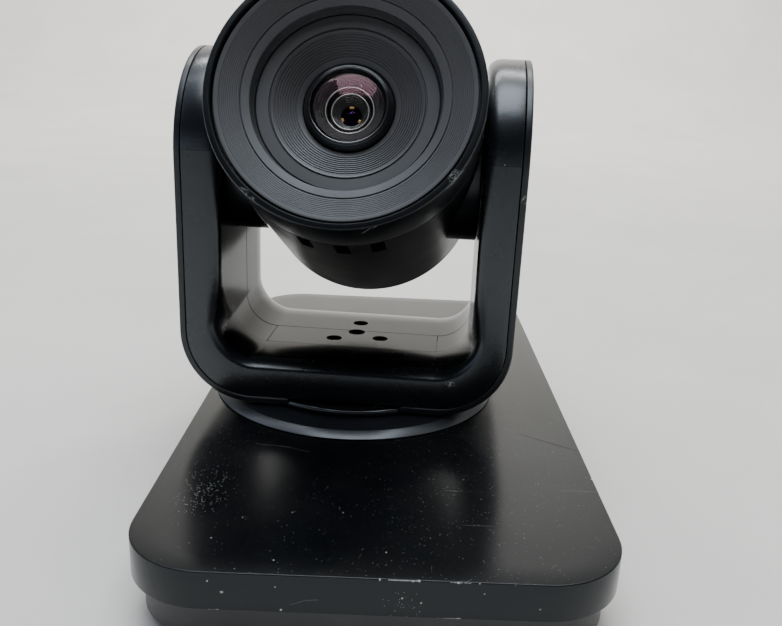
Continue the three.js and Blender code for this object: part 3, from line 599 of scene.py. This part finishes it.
def hole_ring(ring, r, z):
    """Ring of points on the pan hole, each in line with its partner on the outline."""
    out = []
    for x, y, _ in ring:
        t = atan2(y - PAN_OFF_Y, x - PAN_OFF_X)
        out.append((PAN_OFF_X + r * cos(t), PAN_OFF_Y + r * sin(t), z))
    return out


low = TOP_Z - COVER_H
edge = rounded([(2.2, low + 0.05), (0, low, 0.35), (0, TOP_Z, 0.4), (9, TOP_Z)], 5, closed=False)
outer = shell_rings(edge)
top_hole = [hole_ring(outer[-1], 33.6, TOP_Z), hole_ring(outer[-1], 33.0, TOP_Z - 0.5),
            hole_ring(outer[-1], 33.0, TOP_Z - COVER_T)]
inner = shell_rings([(COVER_T + 1.5, TOP_Z - COVER_T), (COVER_T, TOP_Z - COVER_T - 1.5)])
cover = loft("base_cover", outer + top_hole + inner, coat, BASE_FRAME, loop=True, sharp=30)
piece(cover, "base", "coat", "base_top_cover")

low_profile = rounded([(LOWER_INSET, LOWER_Z, 1.2), (LOWER_INSET, TOP_Z - COVER_T - GAP),
                       (LOWER_INSET + LOWER_T, TOP_Z - COVER_T - GAP), (LOWER_INSET + LOWER_T, LOWER_Z)], 4)
lower = loft("base_lower", shell_rings(low_profile, 16), lower_plastic, BASE_FRAME, loop=True)
WALL_X = BASE_W / 2 - LOWER_INSET


def rounded_block(name, half, centre, thick, r, material):
    """Rounded-rectangle block in the base's wall: half sizes along Y and Z, pushed along X."""
    x, y, z = centre
    ring = round_rect(half[0] * 2, half[1] * 2, r, 5)
    rings = [[(x + push, y + a, z + b) for a, b in ring] for push in (-thick / 2, thick / 2)]
    return loft(name, rings, material, BASE_FRAME)


lower = boolean(lower, [
    rounded_block("t", (38, 8.5), (WALL_X, 76, 13.5), 9, 1.5, lower_plastic),
    rounded_block("t", (16, 3.0), (-WALL_X, PAN_OFF_Y, 9.5), 9, 2.9, lower_plastic)])
piece(lower, "base", "plastic", "base_lower_shell")

remote = rounded_block("remote_pane", (15.7, 2.7), (-WALL_X + 1.35, PAN_OFF_Y, 9.5), 2.5, 2.65,
                       window_gloss)
piece(bevel(remote, 0.3, 2, 50), "base", "gloss", "remote_window")

ring = lathe("pan_ring_bevel", rounded([
    (33.2, GAP), (60.7, GAP, 0.15), (57.0, 2.7, 0.35), (31.0, 2.7, 0.25), (31.0, 1.6), (33.2, 1.6)], 4),
    ring_coat, PAN_FRAME, steps=256)
piece(ring, "base", "coat", "pan_ring")



def middle(node):
    """Centre of a CAD node's box at its lowest point, in millimetres."""
    a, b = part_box(node)
    return (a.x + b.x) / 2 / MM, (a.y + b.y) / 2 / MM, a.z / MM


for k in range(1, 5):
    foot = lathe(f"rubber_foot_{k}", rounded([
        (0, 0.5), (5.4, 0.5, 0.4), (5.9, 0, 0.3), (8.0, 0, 0.9), (8.0, 2.3, 0.3), (3.0, 2.3), (3.0, 5.2, 0.4),
        (0, 5.2)], 4, closed=False), rubber, WORLD, steps=72, at=(*middle(f"foot_{k}")[:2], 0))
    piece(foot, "base", "rubber", f"foot_{k}")
    x, y, z = middle(f"bottom_screw_{k}")
    screw = lathe(f"cover_screw_{k}", rounded([
        (0, 0), (2.4, 0.05, 0.6), (3.15, 0.6, 0.3), (3.15, 1.3), (1.7, 1.3), (1.7, 7.6, 0.4), (0, 7.6)], 4,
        closed=False), dark_steel, WORLD, steps=48, at=(x, y, z))
    cross = [box_solid("t", (x - long, y - wide, z - 1), (x + long, y + wide, z + 0.9), steel, WORLD)
             for long, wide in ((1.6, 0.32), (0.32, 1.6))]
    piece(boolean(screw, cross), "base", "steel", f"bottom_screw_{k}")

# contacts in the sockets
PX = WALL_X - 1.0
contacts = [
    ("network_contacts", [(PX - 12.5, 102 - 3.6 + 1.03 * i, 14.2, 9.0, 0.45, 0.5) for i in range(8)]),
    ("usb_contacts", [(PX - 9.5, 84 - 3.9 + 2.6 * i, 11.0, 7.5, 1.1, 0.25) for i in range(4)]),
    ("video_contacts", [(PX - 9.5, 65 - 4.5 + 1.0 * i, 9.55, 7.0, 0.4, 0.2) for i in range(10)]),
]
for name, bars in contacts:
    verts, faces = [], []
    for x, y, z, length, wide, high in bars:
        s = len(verts)
        verts += [(x + dx * length, y + (dy - 0.5) * wide, z + (dz - 0.5) * high)
                  for dx in (0, 1) for dy in (0, 1) for dz in (0, 1)]
        faces += [[s + i for i in q] for q in ((0, 1, 3, 2), (4, 6, 7, 5), (0, 4, 5, 1), (2, 3, 7, 6),
                                               (0, 2, 6, 4), (1, 5, 7, 3))]
    piece(build(name, verts, faces, contact_gold, BASE_FRAME), "base", "brass")

# ---- yoke ----
SEAM_GAP = 0.05          # how far each side of the caps' parting line stands back
TOP = CAP_Z - SEAM_GAP
LIP_DEPTH = 3.9          # depth of the window's front and rear rounding


def rear_depth(z):
    """How far in the rear rounding starts: long by the floor, short by the arm caps."""
    t = min(1.0, max(0.0, (FLARE_TOP - z) / (FLARE_TOP - FLARE_LOW)))
    return LIP_DEPTH + (FLARE_DEPTH - LIP_DEPTH) * t * t * (3 - 2 * t)


def front_depth(z):
    """The front rounding is long only along the floor and its corners."""
    t = min(1.0, max(0.0, (SILL_TOP - z) / (SILL_TOP - SILL_LOW)))
    return LIP_DEPTH + (SILL_DEPTH - LIP_DEPTH) * t * t * (3 - 2 * t)


def rounding(depth, steps):
    """Rounding of the window's edge: how far out, and how far in from the yoke's face."""
    return [(WIN_FILLET * (1 - cos(t)), depth * (1 - sin(t)))
            for t in (pi / 2 * k / steps for k in range(steps + 1))]


def window_line(out):
    """The window's outline, grown outwards."""
    return u_outline(WIN_W + out, WIN_Z - out, WIN_R + out, TOP)


def shell(name, split, front, material):
    """Front or rear shell of the yoke, open towards the side covers."""
    s = -1 if front else 1
    rings = []
    for k, (_, height) in enumerate(window_line(0)):
        depth = front_depth(height) if front else rear_depth(height)
        end = asin(1 - SHELL_T / depth)
        lip = [(o, YOKE_D - d) for o, d in rounding(depth, 12)]
        inside = [(SHELL_T + WIN_FILLET * (1 - cos(t)), YOKE_D - depth * (1 - sin(t)))
                  for t in (end * i / 4 for i in range(4, -1, -1))]
        loop = [(0.15, split), (0, split + s * 0.15)]
        if front:
            y0 = YOKE_D - depth
            groove = ((0, y0 - 0.55), (0.15, y0 - 0.5), (0.15, y0 - 0.4), (0, y0 - 0.35))
            loop += [(o, s * y) for o, y in groove]
        loop += [(o, s * y) for o, y in lip]
        ring = [(window_line(o)[k], y) for o, y in loop]
        ring += [(u_outline(SEAM_W - o, SEAM_Z + o, SEAM_R - o, TOP)[k], s * y) for o, y in (
            (0.45, YOKE_D), (0.13, YOKE_D - 0.13), (0, YOKE_D - 0.45), (0, YOKE_D - SHELL_T))]
        ring += [(window_line(o)[k], s * y) for o, y in inside]
        ring.append((window_line(SHELL_T)[k], split))
        squeeze = [sqrt(YOKE_D ** 2 - max(0, z - TILT_Z) ** 2) / YOKE_D for (_, z), _ in ring]
        rings.append([(x, y * q, z) for ((x, z), y), q in zip(ring, squeeze)])
    return loft(name, rings, material, YOKE_FRAME, sharp=40)


HOLES = [(SCREW_CIRCLE * cos(radians(a)), SCREW_CIRCLE * sin(radians(a))) for a in SCREW_ANGLES]


def axle():
    """Cutter for the tilt axle's holes."""
    return rod("t", AXLE_R + 0.6, -60, 60, satin, YOKE_FRAME, "x", at=(0, 0, TILT_Z), steps=40)


def refinish(obj, material, test):
    """Gives a second finish to the faces whose centre, in millimetres, passes a test."""
    obj.data.materials.append(material)
    for poly in obj.data.polygons:
        if test(poly.center / MM):
            poly.material_index = 1
    return obj


def in_window(c):
    return abs(c.x) < WIN_W + 0.25 and c.z > WIN_Z - 1.5 and c.y > -YOKE_D + LIP_DEPTH


def on_bore(c):
    return WELL_R < hypot(c.x, c.z) < LIP_FACE_R - 0.05 and -LIP_FACE < c.y < -WELL


def hole(r, at=(0, 0)):
    """Cutter for a hole in the window's floor."""
    return rod("t", r, 15, 30, satin, YOKE_FRAME, at=(*at, 0))


front_shell = shell("yoke_front", SPLIT_Y - GAP / 2, True, satin)
front_shell = boolean(front_shell, [
    box_solid("t", (-PANEL_X - 0.25, PANEL_Y - 0.25, WIN_Z - 1.4), (PANEL_X + 0.25, SPLIT_Y + 1, 40),
              satin, YOKE_FRAME),
    axle(), hole(4.2), *[hole(3.7, at) for at in HOLES[1:]]])
piece(refinish(front_shell, liner, in_window), "yoke", "satin", "yoke_front_shell")
rear_shell = shell("yoke_rear", SPLIT_Y + GAP / 2, False, liner)
rear_shell = boolean(rear_shell, [axle(), hole(3.6), hole(3.3, HOLES[0])])
piece(rear_shell, "yoke", "satin", "yoke_rear_shell")

panel_far = SPLIT_Y - 0.05
panel_ring = [(x, y + (PANEL_Y + panel_far) / 2) for x, y in round_rect(
    2 * PANEL_X, panel_far - PANEL_Y, 0.8, 4)]
panel = loft("floor_panel", [[(x, y, z) for x, y in panel_ring] for z in (WIN_Z - 1.1, WIN_Z)],
             liner, YOKE_FRAME)
panel = boolean(panel, [hole(3.6), *[hole(3.3, at) for at in HOLES[1:]]])
piece(panel, "yoke", "satin", "yoke_floor_panel")

for k, (x, y) in enumerate(HOLES):
    screw = lathe(f"socket_screw_{k + 1}", rounded([
        (0, 15.9), (2.2, 15.9, 0.3), (2.7, 15.4, 0.2), (2.7, 13.9), (1.3, 13.9), (1.3, 4), (0, 4)], 3,
        closed=False), dark_steel, YOKE_FRAME, steps=48, at=(x, y, 0))
    recess = rod("t", 1.25, 14.6, 17, steel, YOKE_FRAME, at=(x, y, 0), steps=6)
    piece(boolean(screw, [recess]), "yoke", "steel", f"neck_screw_{k + 1}")


def arm_cap(name, side, node):
    """Round top of an arm: turned about the tilt axis, cut level at the parting."""
    core = YOKE_D - LIP_DEPTH
    profile = [(AXLE_R + 0.6, WIN_W), (core, WIN_W)]
    profile += [(YOKE_D - d, WIN_W + o) for o, d in rounding(LIP_DEPTH, 8)[1:]]
    profile += [(YOKE_D, SEAM_W - 0.45), (YOKE_D - 0.13, SEAM_W - 0.13), (YOKE_D - 0.45, SEAM_W),
                (YOKE_D - SHELL_T, SEAM_W), (YOKE_D - SHELL_T, WIN_W + SHELL_T),
                (AXLE_R + 0.6, WIN_W + SHELL_T)]
    profile = [(r, side * h) for r, h in profile]
    cap = lathe(name, profile, satin, YOKE_FRAME, "x", 240, at=(0, 0, TILT_Z), sharp=40)
    cap = boolean(cap, [box_solid("t", (-90, -60, 0), (90, 60, CAP_Z + SEAM_GAP), satin, YOKE_FRAME)])
    return piece(cap, "yoke", "satin", node)


arm_cap("left_cap", -1, "left_arm_cap")
arm_cap("right_cap", 1, "right_arm_cap")


def side_cover(name, side, node):
    """Sheet over an arm's side, wrapped under the yoke."""
    t, r, toe, arc = SIDE_T - GAP, 0.7, 21.6, 32
    # the sheet's edge: how far in from its own face, and from the yoke's front or rear
    first = [(0, r)] + [(r - r * cos(a), r - r * sin(a)) for a in (radians(30), radians(60))]
    first += [(r, 0), (t - 0.15, 0), (t, 0.15)]
    rings, columns = [], []
    for e, i in first:
        line = u_outline(YOKE_W - e, YOKE_Z + e, YOKE_R - e, TILT_Z)[:RISE + CORNER + 1]
        columns.append([(x, z, i) for x, z in [(toe, YOKE_Z + e)] + line[::-1]])
    for k in range(len(columns[0])):
        left = [(side * c[k][0], -(YOKE_D - c[k][2]), c[k][1]) for c in columns]
        right = [(side * c[k][0], YOKE_D - c[k][2], c[k][1]) for c in reversed(columns)]
        rings.append(left + right)
    for k in range(1, arc + 1):
        a = radians(90 * k / arc)
        left, right = [], []
        for e, i in first:
            rad, x = YOKE_D - i, side * (YOKE_W - e)
            left.append((x, -rad * cos(a), TILT_Z + rad * sin(a)))
            right.insert(0, (x, rad * cos(a), TILT_Z + rad * sin(a)))
        rings.append(left + right)
    obj = loft(name, rings, strip, YOKE_FRAME, sharp=35)
    obj = boolean(obj, [rod("t", LIP_R + GAP, 0, 9, satin, YOKE_FRAME, steps=160)], sharp=35)
    return piece(obj, "yoke", "satin", node)


side_cover("left_strip", -1, "left_side_cover")
side_cover("right_strip", 1, "right_side_cover")

boss_top = WIN_Z - SHELL_T - GAP
neck = lathe("neck_flange", rounded([
    (0, -0.6), (26.0, -0.6), (26.0, -12.6), (NECK_R, -12.6, 0.4), (NECK_R, LIP_Z), (LIP_R, LIP_Z, 0.7),
    (LIP_R, LIP_Z + LIP_H, 1.2), (4.6, LIP_Z + LIP_H), (4.6, boss_top, 0.4), (3.2, boss_top), (3.2, 0.4),
    (0, 0.4)], 5, closed=False), neck_gloss, YOKE_FRAME, steps=256)
piece(neck, "yoke", "satin", "pan_neck")
for k, (x, y) in enumerate(HOLES):
    boss = lathe(f"neck_boss_{k + 1}", rounded([
        (1.6, LIP_Z + LIP_H - 0.1), (4.6, LIP_Z + LIP_H - 0.1), (4.6, 13.6, 0.3), (1.6, 13.6)], 3),
        neck_gloss, YOKE_FRAME, steps=48, at=(x, y, 0))
    piece(boss, "yoke", "satin")

# ---- head ----
def turned(name, profile, material, steps, sharp=SHARP):
    """Ring or disc about the lens's axis: heights run towards the viewer."""
    return lathe(name, profile, material, HEAD_FRAME, "head", steps, sharp)


def barrel_r(h):
    """Radius of the slightly tapered barrel at a height."""
    return REAR_R + (RIM_R - REAR_R) * (h - REAR) / (SEAM - GAP / 2 - REAR)


def true_normals(obj):
    """Keeps a turned skin's shading even round the slots cut in it."""
    mesh = obj.data
    normals = [(0.0, 0.0, 0.0)] * len(mesh.loops)
    for poly in mesh.polygons:
        for i in poly.loop_indices:
            x, _, z = mesh.vertices[mesh.loops[i].vertex_index].co
            out = Vector((x, 0, z)).normalized()
            if poly.normal.dot(out) > 0.97:
                normals[i] = tuple(out)
    mesh.normals_split_custom_set(normals)
    return obj


barrel = turned("barrel_tube", rounded([
    (REAR_R, REAR, 0.15), *[(barrel_r(h), h) for h in (-30, -15, 0, 14, 27.5, 34, 41.45)],
    (RIM_R, SEAM - GAP / 2, 0.25), (RIM_R - 2.4, SEAM - GAP / 2), (REAR_R - 2.4, REAR)], 3),
    head_paint, 256)


def vent(angle):
    """Slot cutter across the barrel wall, turned about the head's axis."""
    block = [(-2.6, -41.2), (2.6, -41.2), (2.6, -28.5), (-2.6, -28.5)]
    turn = Matrix.Rotation(radians(90 - angle), 4, "Y")
    rings = [[tuple(turn @ Vector((x, y, z))) for x, y in block] for z in (40, 60)]
    return loft("t", rings, head_paint, HEAD_FRAME)


barrel = boolean(barrel, [rod("t", HUB_R - 1.5, -60, 60, satin, HEAD_FRAME, "x", steps=96),
                          *[vent(a) for a in VENT_ANGLES]])
piece(true_normals(barrel), "head", "satin", "head_barrel")

rear = turned("rear_cap_dome", rounded([
    (0, -50.6), (36, -50.3, 30), (REAR_R, -47.6, 5.0), (REAR_R, REAR - GAP, 0.2), (REAR_R - 2.7, REAR - GAP),
    (REAR_R - 2.7, REAR + 3), (REAR_R - 4.4, REAR + 3), (REAR_R - 4.4, -46.2), (34, -48.2), (0, -48.4)], 10,
    closed=False), head_paint, 256)
piece(rear, "head", "satin", "head_rear_cap")

rim = turned("front_rim_ring", rounded([
    (RIM_R, SEAM + GAP / 2, 0.25), (RIM_R, RIM_FRONT, 0.75), (FACE_R + 0.75, RIM_FRONT, 0.25),
    (FACE_R + 0.5, RIM_FRONT - 0.8, 0.15), (FACE_R + 0.5, SEAM + GAP / 2)], 5),
    head_paint, 320)
piece(rim, "head", "satin", "front_rim")


def ridges(r0, r1, h0, h1, count, depth, share=0.5):
    """Concentric ridges from radius r0 to r1 on a straight slope."""
    out = []
    for k in range(count):
        for f, d in ((0.0, 0), (0.12, 1), (share, 1), (share + 0.12, 0)):
            t = (k + f) / count
            out.append((r0 + (r1 - r0) * t, h0 + (h1 - h0) * t - (0 if d else depth)))
    out.append((r1, h1 - depth))
    return out


RIB_OUT, RIB_IN = 43.25, 36.6
RIDGE_OUT, RIDGE_IN = 26.2, 18.6
slope = (61.6 - LIP_FACE) / (FACE_R - 0.15 - LIP_FACE_R)


def face_at(r):
    return LIP_FACE + slope * (r - LIP_FACE_R)


# a thin skirt behind the edge keeps light from leaking past the rim
FACE_EDGE, SKIRT_R, SKIRT = FACE_R - 0.15, FACE_R + 0.42, (58.6, 59.3)
face = rounded([(SKIRT_R, SKIRT[1]), (FACE_EDGE, SKIRT[1]), (FACE_EDGE, 61.6, 0.35),
                (RIB_OUT + 0.1, face_at(RIB_OUT) + 0.04)], 4, closed=False)
face += ridges(RIB_OUT, RIB_IN, face_at(RIB_OUT), face_at(RIB_IN), 10, 0.15, 0.56)
face += [(RIB_IN - 0.02, face_at(RIB_IN) - 0.75), (RIB_IN - 0.42, face_at(RIB_IN) - 0.75),
         (RIB_IN - 0.46, face_at(RIB_IN - 0.46) - 0.08), (RIB_IN - 0.56, face_at(RIB_IN - 0.56))]
face += rounded([face[-1], (LIP_FACE_R, LIP_FACE, 0.45), (WELL_R + 0.2, WELL + 0.2)], 5, closed=False)[1:]
face += [(WELL_R + 1.6, WELL - 1.2), (LIP_FACE_R + 2, LIP_FACE - 2), (FACE_EDGE, SKIRT[0]),
         (SKIRT_R, SKIRT[0])]
face = turned("face_ring", face, face_plastic, 320, sharp=30)
piece(refinish(face, bore_gloss, on_bore), "head", "plastic", "ribbed_face")

fall = (WELL - 0.75 - GLASS - 0.3) / (GROOVE_R - 0.4 - GLASS_R - 0.2)


def well_at(r):
    return GLASS + 0.3 + fall * (r - GLASS_R - 0.2)


bowl = [(WELL_R - 0.2, WELL), (GROOVE_R + 0.35, WELL - 0.5), (GROOVE_R + 0.15, WELL - 1.25),
        (GROOVE_R - 0.2, WELL - 1.25), (GROOVE_R - 0.4, well_at(GROOVE_R - 0.4)),
        (RIDGE_OUT, well_at(RIDGE_OUT))]
bowl += ridges(RIDGE_OUT, RIDGE_IN, well_at(RIDGE_OUT), well_at(RIDGE_IN), 9, 0.34)
bowl += [(18.5, well_at(18.5)), (GLASS_R + 0.5, well_at(GLASS_R + 0.5)),
         (GLASS_R + 0.2, well_at(GLASS_R) - 0.2),
         (GLASS_R + 0.2, GLASS - 2.4), (WELL_R + 4, WELL - 2.4), (WELL_R + 4, WELL - 1.8),
         (WELL_R - 0.2, WELL - 1.8)]
piece(turned("well_bowl", bowl, well_plastic, 288, sharp=30), "head", "plastic",
      "ribbed_well")

holder = turned("retaining_ring", rounded([
    (GLASS_R - 0.15, GLASS - 2), (GLASS_R - 0.15, GLASS + 0.75, 0.3), (14.7, 50.85, 0.35),
    (13.75, 50.7, 0.12), (13.75, 48.8), (12.4, 48.8), (12.4, GLASS - 2)], 5), gloss_black, 192)
piece(holder, "head", "gloss", "lens_retaining_ring")
holder_edge = turned("retaining_ring_edge", rounded([
    (14.25, 50.5), (14.15, 51.0, 0.15), (13.60, 50.95, 0.15), (13.50, 50.35)], 3), edge_dark, 192)
piece(holder_edge, "head", "steel")


def cap_curve(r_edge, h_edge, h_top, steps):
    """Spherical cap from the axis to its edge."""
    rise = h_top - h_edge
    ball = (r_edge ** 2 + rise ** 2) / (2 * rise)
    radii = [r_edge * k / steps for k in range(steps + 1)]
    return [(r, h_top - ball + sqrt(ball ** 2 - r ** 2)) for r in radii]


glass_curve = cap_curve(13.3, 49.7, 52.81, 22) + [(13.4, 49.5), (13.3, 49.2)]
glass_curve += cap_curve(13.0, 49.18, 52.21, 22)[::-1]
piece(turned("front_lens", glass_curve, front_glass, 128, sharp=60), "head", "glass",
      "front_element")


def steps_in(r0, r1, h0, h1, count):
    """Staircase of light baffles."""
    out = []
    for k in range(count):
        ra, rb = r0 + (r1 - r0) * k / count, r0 + (r1 - r0) * (k + 1) / count
        ha, hb = h0 + (h1 - h0) * k / count, h0 + (h1 - h0) * (k + 1) / count
        out += [(ra, ha), (ra, hb + (ha - hb) * 0.25), (rb, hb + (ha - hb) * 0.1)]
    return out


tunnel = [(0, -14), (18.3, -14), (18.3, 43), (16, 45), (12.9, 45), (12.75, 48.3), (12.35, 48.4)]
tunnel += steps_in(12.3, 8.75, 48.2, 46.0, 4)
tunnel += [(8.7, 45.95), (8.6, 44.9), (10.5, 42.6), (14.5, 42.5), (14.5, -12), (0, -12)]
tunnel = turned("lens_barrel", tunnel, inner_plastic, 128, sharp=25)
tunnel = boolean(tunnel, [box_solid("t", (-6, -13, -6), (6, 20, 6), inner_plastic, HEAD_FRAME)], sharp=25)
piece(tunnel, "head", "plastic", "lens_housing")


def edge_ring(name, r, h, high, wide, metal, body):
    """Bright turned edge that shows as a circle behind the front lens; its metal's faint glow is a painted
    highlight.
    """
    ring = rounded([(r, h), (r, h + high, 0.08), (r - wide, h + high, 0.08), (r - wide, h)], 3)
    piece(turned(name, ring, metal, 128), body, "steel")


edge_ring("baffle_edge_outer", 12.62, 48.3, 0.32, 0.26, warm_edge_painted_glow, "head")
edge_ring("baffle_edge_inner", 8.74, 45.9, 0.32, 0.26, edge_metal, "head")

carrier = [(8.9, 34), (14.1, 34), (14.1, 42), (8.5, 42.0), (7.3, 42.3), (6.95, 44.5), (6.6, 44.5)]
carrier += steps_in(6.45, 3.9, 44.2, 40.4, 6)
carrier += [(3.7, 40.2), (6.9, 40.1), (6.9, 36), (8.9, 35)]
piece(turned("zoom_cell", carrier, funnel_plastic, 128, sharp=25), "zoom_group",
      "plastic", "zoom_carrier")
edge_ring("zoom_cell_edge", 6.80, 44.45, 0.30, 0.24, edge_metal, "zoom_group")
zoom_lens = cap_curve(6.6, 38.0, 39.5, 12) + [(6.65, 37.8)] + cap_curve(6.5, 36.6, 37.0, 6)[::-1]
piece(turned("zoom_lens", zoom_lens, violet_glass, 96, sharp=60), "zoom_group", "glass",
      "zoom_element")
inner_lens = cap_curve(8.5, 45.5, 47.6, 14) + [(8.55, 45.3)]
inner_lens += cap_curve(8.4, 45.05, 47.1, 14)[::-1]
piece(turned("inner_lens", inner_lens, green_glass, 96, sharp=60), "head", "glass")
# painted reflection: three small glowing amber tabs stand in for the amber glints reflected by the lens
# elements
for k, (angle, wide) in enumerate(((92, 26), (205, 20), (-28, 18))):
    rings = []
    for i in range(9):
        a = radians(angle - wide / 2 + wide * i / 8)
        dome = 0.32 * sin(pi * i / 8) + 0.06
        rings.append([(r * cos(a), -h, r * sin(a)) for r, h in (
            (3.75, 40.2), (3.75, 40.35 + dome), (3.4, 40.45 + dome), (3.05, 40.3 + dome * 0.5),
            (3.0, 40.15))])
    glint_tab = loft(f"lens_glint_tab_{k + 1}", rings, amber_glint, HEAD_FRAME, sharp=60)
    piece(glint_tab, "zoom_group", "brass")

# hubs on the tilt axis
HUB_FACE, AXLE_END = WIN_W - GAP, WIN_W + SHELL_T + 6.5
for name, side, node in (("left_drum", -1, "left_hub"), ("right_drum", 1, "right_hub")):
    drum = lathe(name, [(r, side * h) for r, h in rounded([
        (0, 34), (HUB_R, 34), (HUB_R, HUB_FACE, 0.8), (HUB_R - 3.6, HUB_FACE),
        (HUB_R - 3.6, HUB_FACE - 4.8), (AXLE_R, HUB_FACE - 4.8), (AXLE_R, AXLE_END, 0.6), (4.6, AXLE_END),
        (4.6, 41), (0, 41)], 4, closed=False)], head_paint, HEAD_FRAME, "x", 192)
    tools = [rod("t", RIM_R + GAP, -60, 60, satin, HEAD_FRAME, "head", steps=192)]
    if side > 0:
        tools.append(rod("t", 2.9, 30, 60, satin, HEAD_FRAME, "x", at=(0, 21.7, 0)))
    piece(boolean(drum, tools), "head", "satin", node)

# ---- CAD nodes that keep their shape ----
KEPT = {
    plate_steel: ["bottom_plate"], brass: ["tripod_insert", "pan_pinion", "tilt_pinion"],
    lower_plastic: ["connector_panel", "focus_carrier"], gloss_black: ["power_inlet", "iris_ring"],
    steel: ["video_socket", "usb_socket", "network_socket", "pan_bearing", "pan_motor", "right_tilt_bearing",
            "left_tilt_bearing", "tilt_motor"],
    board: ["main_board", "drive_board", "sensor_board"], chip_black: ["image_sensor"],
    violet_glass: ["focus_element"], nylon: ["pan_gear", "tilt_wheel"], alloy: ["heat_sink"],
}
for material, names in KEPT.items():
    for name in names:
        slots = frame["nodes"][name].data.materials
        slots.clear()
        slots.append(material)

# ---- floor, light and camera ----
floor_mat = Finish("floor_paper", 0.7)
mottle = floor_mat.noise(7, 6, 0.6, 0.6)
fleck = floor_mat.noise(190, 4, 0.6)
floor_color = floor_mat.mix(floor_mat.span(mottle, 0.38, 0.66), (0.68, 0.666, 0.632), (0.73, 0.714, 0.676))
floor_color = floor_mat.mix(floor_mat.span(fleck, 0.3, 0.75, 0, 0.2), floor_color, (0.61, 0.60, 0.57))
floor_mat.finish(floor_color, 0.75, fleck, 0.1)
# the paper runs up behind in a wide sweep
WIDE_X, NEAR_Y, BEND_Y, BEND_R, WALL_Z = 6000, -6000, 1700, 1300, 5000
path = [(NEAR_Y, 0), (BEND_Y, 0)]
path += [(BEND_Y + BEND_R * sin(t), BEND_R * (1 - cos(t))) for t in (pi / 2 * k / 24 for k in range(1, 25))]
path.append((BEND_Y + BEND_R, WALL_Z))
verts = [(x, y, z) for y, z in path for x in (-WIDE_X, WIDE_X)]
faces = [[2 * k, 2 * k + 1, 2 * k + 3, 2 * k + 2] for k in range(len(path) - 1)]
floor = build("studio_floor", verts, faces, floor_mat.mat, WORLD)


def area_light(name, place, turn, size, watts, color=(1, 1, 1)):
    data = bpy.data.lights.new(name, "AREA")
    data.shape = "RECTANGLE"
    data.size, data.size_y = size
    data.energy = watts
    data.color = color
    obj = bpy.data.objects.new(name, data)
    obj.location = place
    obj.rotation_euler = turn
    bpy.context.scene.collection.objects.link(obj)


def aimed(direction):
    return Vector(direction).to_track_quat("-Z", "Y").to_euler()


STRIP_A, STRIP_B = Vector((-2.0, 0.42, 1.3)), Vector((-0.48, 0.01, 1.3))
strip_run = STRIP_B - STRIP_A
area_light("overhead", (-0.01, -0.24, 1.3), aimed((0, 0, -1)), (0.96, 0.80), 15.5, (0.88, 0.93, 1.0))
area_light("backdrop", (0, 1.3, 2.4), aimed((0, 1.6, -1.8)), (2.4, 0.5), 135.0, (1.0, 0.99, 0.97))
area_light("strip", (STRIP_A + STRIP_B) / 2, (0, 0, atan2(strip_run.y, strip_run.x)),
           (strip_run.length, 0.04), 1.6)

# dim towards the viewer, brighter at the sides and behind
world = bpy.data.worlds.new("studio")
world.use_nodes = True
tree = world.node_tree
link = tree.links.new
back = tree.nodes["Background"]
coord = tree.nodes.new("ShaderNodeTexCoord")
split = tree.nodes.new("ShaderNodeSeparateXYZ")
link(coord.outputs["Generated"], split.inputs[0])


def world_span(source, low, high):
    n = tree.nodes.new("ShaderNodeMapRange")
    link(source, n.inputs[0])
    n.inputs[1].default_value = low
    n.inputs[2].default_value = high
    return n.outputs[0]


def world_mix(fac, below, color):
    n = tree.nodes.new("ShaderNodeMix")
    n.data_type = "RGBA"
    link(fac, n.inputs[0])
    link(below, n.inputs[6])
    n.inputs[7].default_value = (*color, 1)
    return n.outputs[2]


ramp = tree.nodes.new("ShaderNodeValToRGB")
link(world_span(split.outputs[1], -1.0, 1.0), ramp.inputs[0])
ramp.color_ramp.elements[0].color = (0.25, 0.26, 0.275, 1)
ramp.color_ramp.elements[1].color = (0.95, 0.95, 0.94, 1)
middle = ramp.color_ramp.elements.new(0.5)
middle.color = (0.78, 0.79, 0.80, 1)
bluish = world_mix(world_span(split.outputs[0], 0.1, -0.9), ramp.outputs[0], (0.66, 0.74, 0.95))
ahead = world_span(split.outputs[1], -0.05, -0.55)
above = world_span(split.outputs[2], 0.05, 0.35)
both = tree.nodes.new("ShaderNodeMath")
both.operation = "MULTIPLY"
link(ahead, both.inputs[0])
link(above, both.inputs[1])
link(world_mix(both.outputs[0], bluish, (0.035, 0.037, 0.042)), back.inputs[0])
back.inputs[1].default_value = 1.0
bpy.context.scene.world = world

# the camera's place, turn and lens, fitted to the object's perspective
LENS, SENSOR, SHIFT_X, SHIFT_Y = 37.1973913043, 36.0, -0.0153964194, 0.0130179028
yaw, pitch, roll = radians(0.82), radians(17.68), radians(2.73)
forward = Vector((sin(yaw) * cos(pitch), cos(yaw) * cos(pitch), -sin(pitch)))
right = Vector((cos(yaw), -sin(yaw), 0))
up = right.cross(forward)
right, up = cos(roll) * right + sin(roll) * up, -sin(roll) * right + cos(roll) * up
data = bpy.data.cameras.new("photo_view")
data.sensor_fit = "HORIZONTAL"
data.sensor_width = SENSOR
data.lens = LENS
data.shift_x = SHIFT_X
data.shift_y = SHIFT_Y
data.clip_start = 0.01
data.clip_end = 50
camera = bpy.data.objects.new("photo_view", data)
basis = Matrix((right, up, -forward)).transposed().to_4x4()
camera.matrix_world = Matrix.Translation((0.00519, -0.33510, 0.16353)) @ basis
bpy.context.scene.collection.objects.link(camera)
bpy.context.scene.camera = camera

bpy.context.view_layer.update()
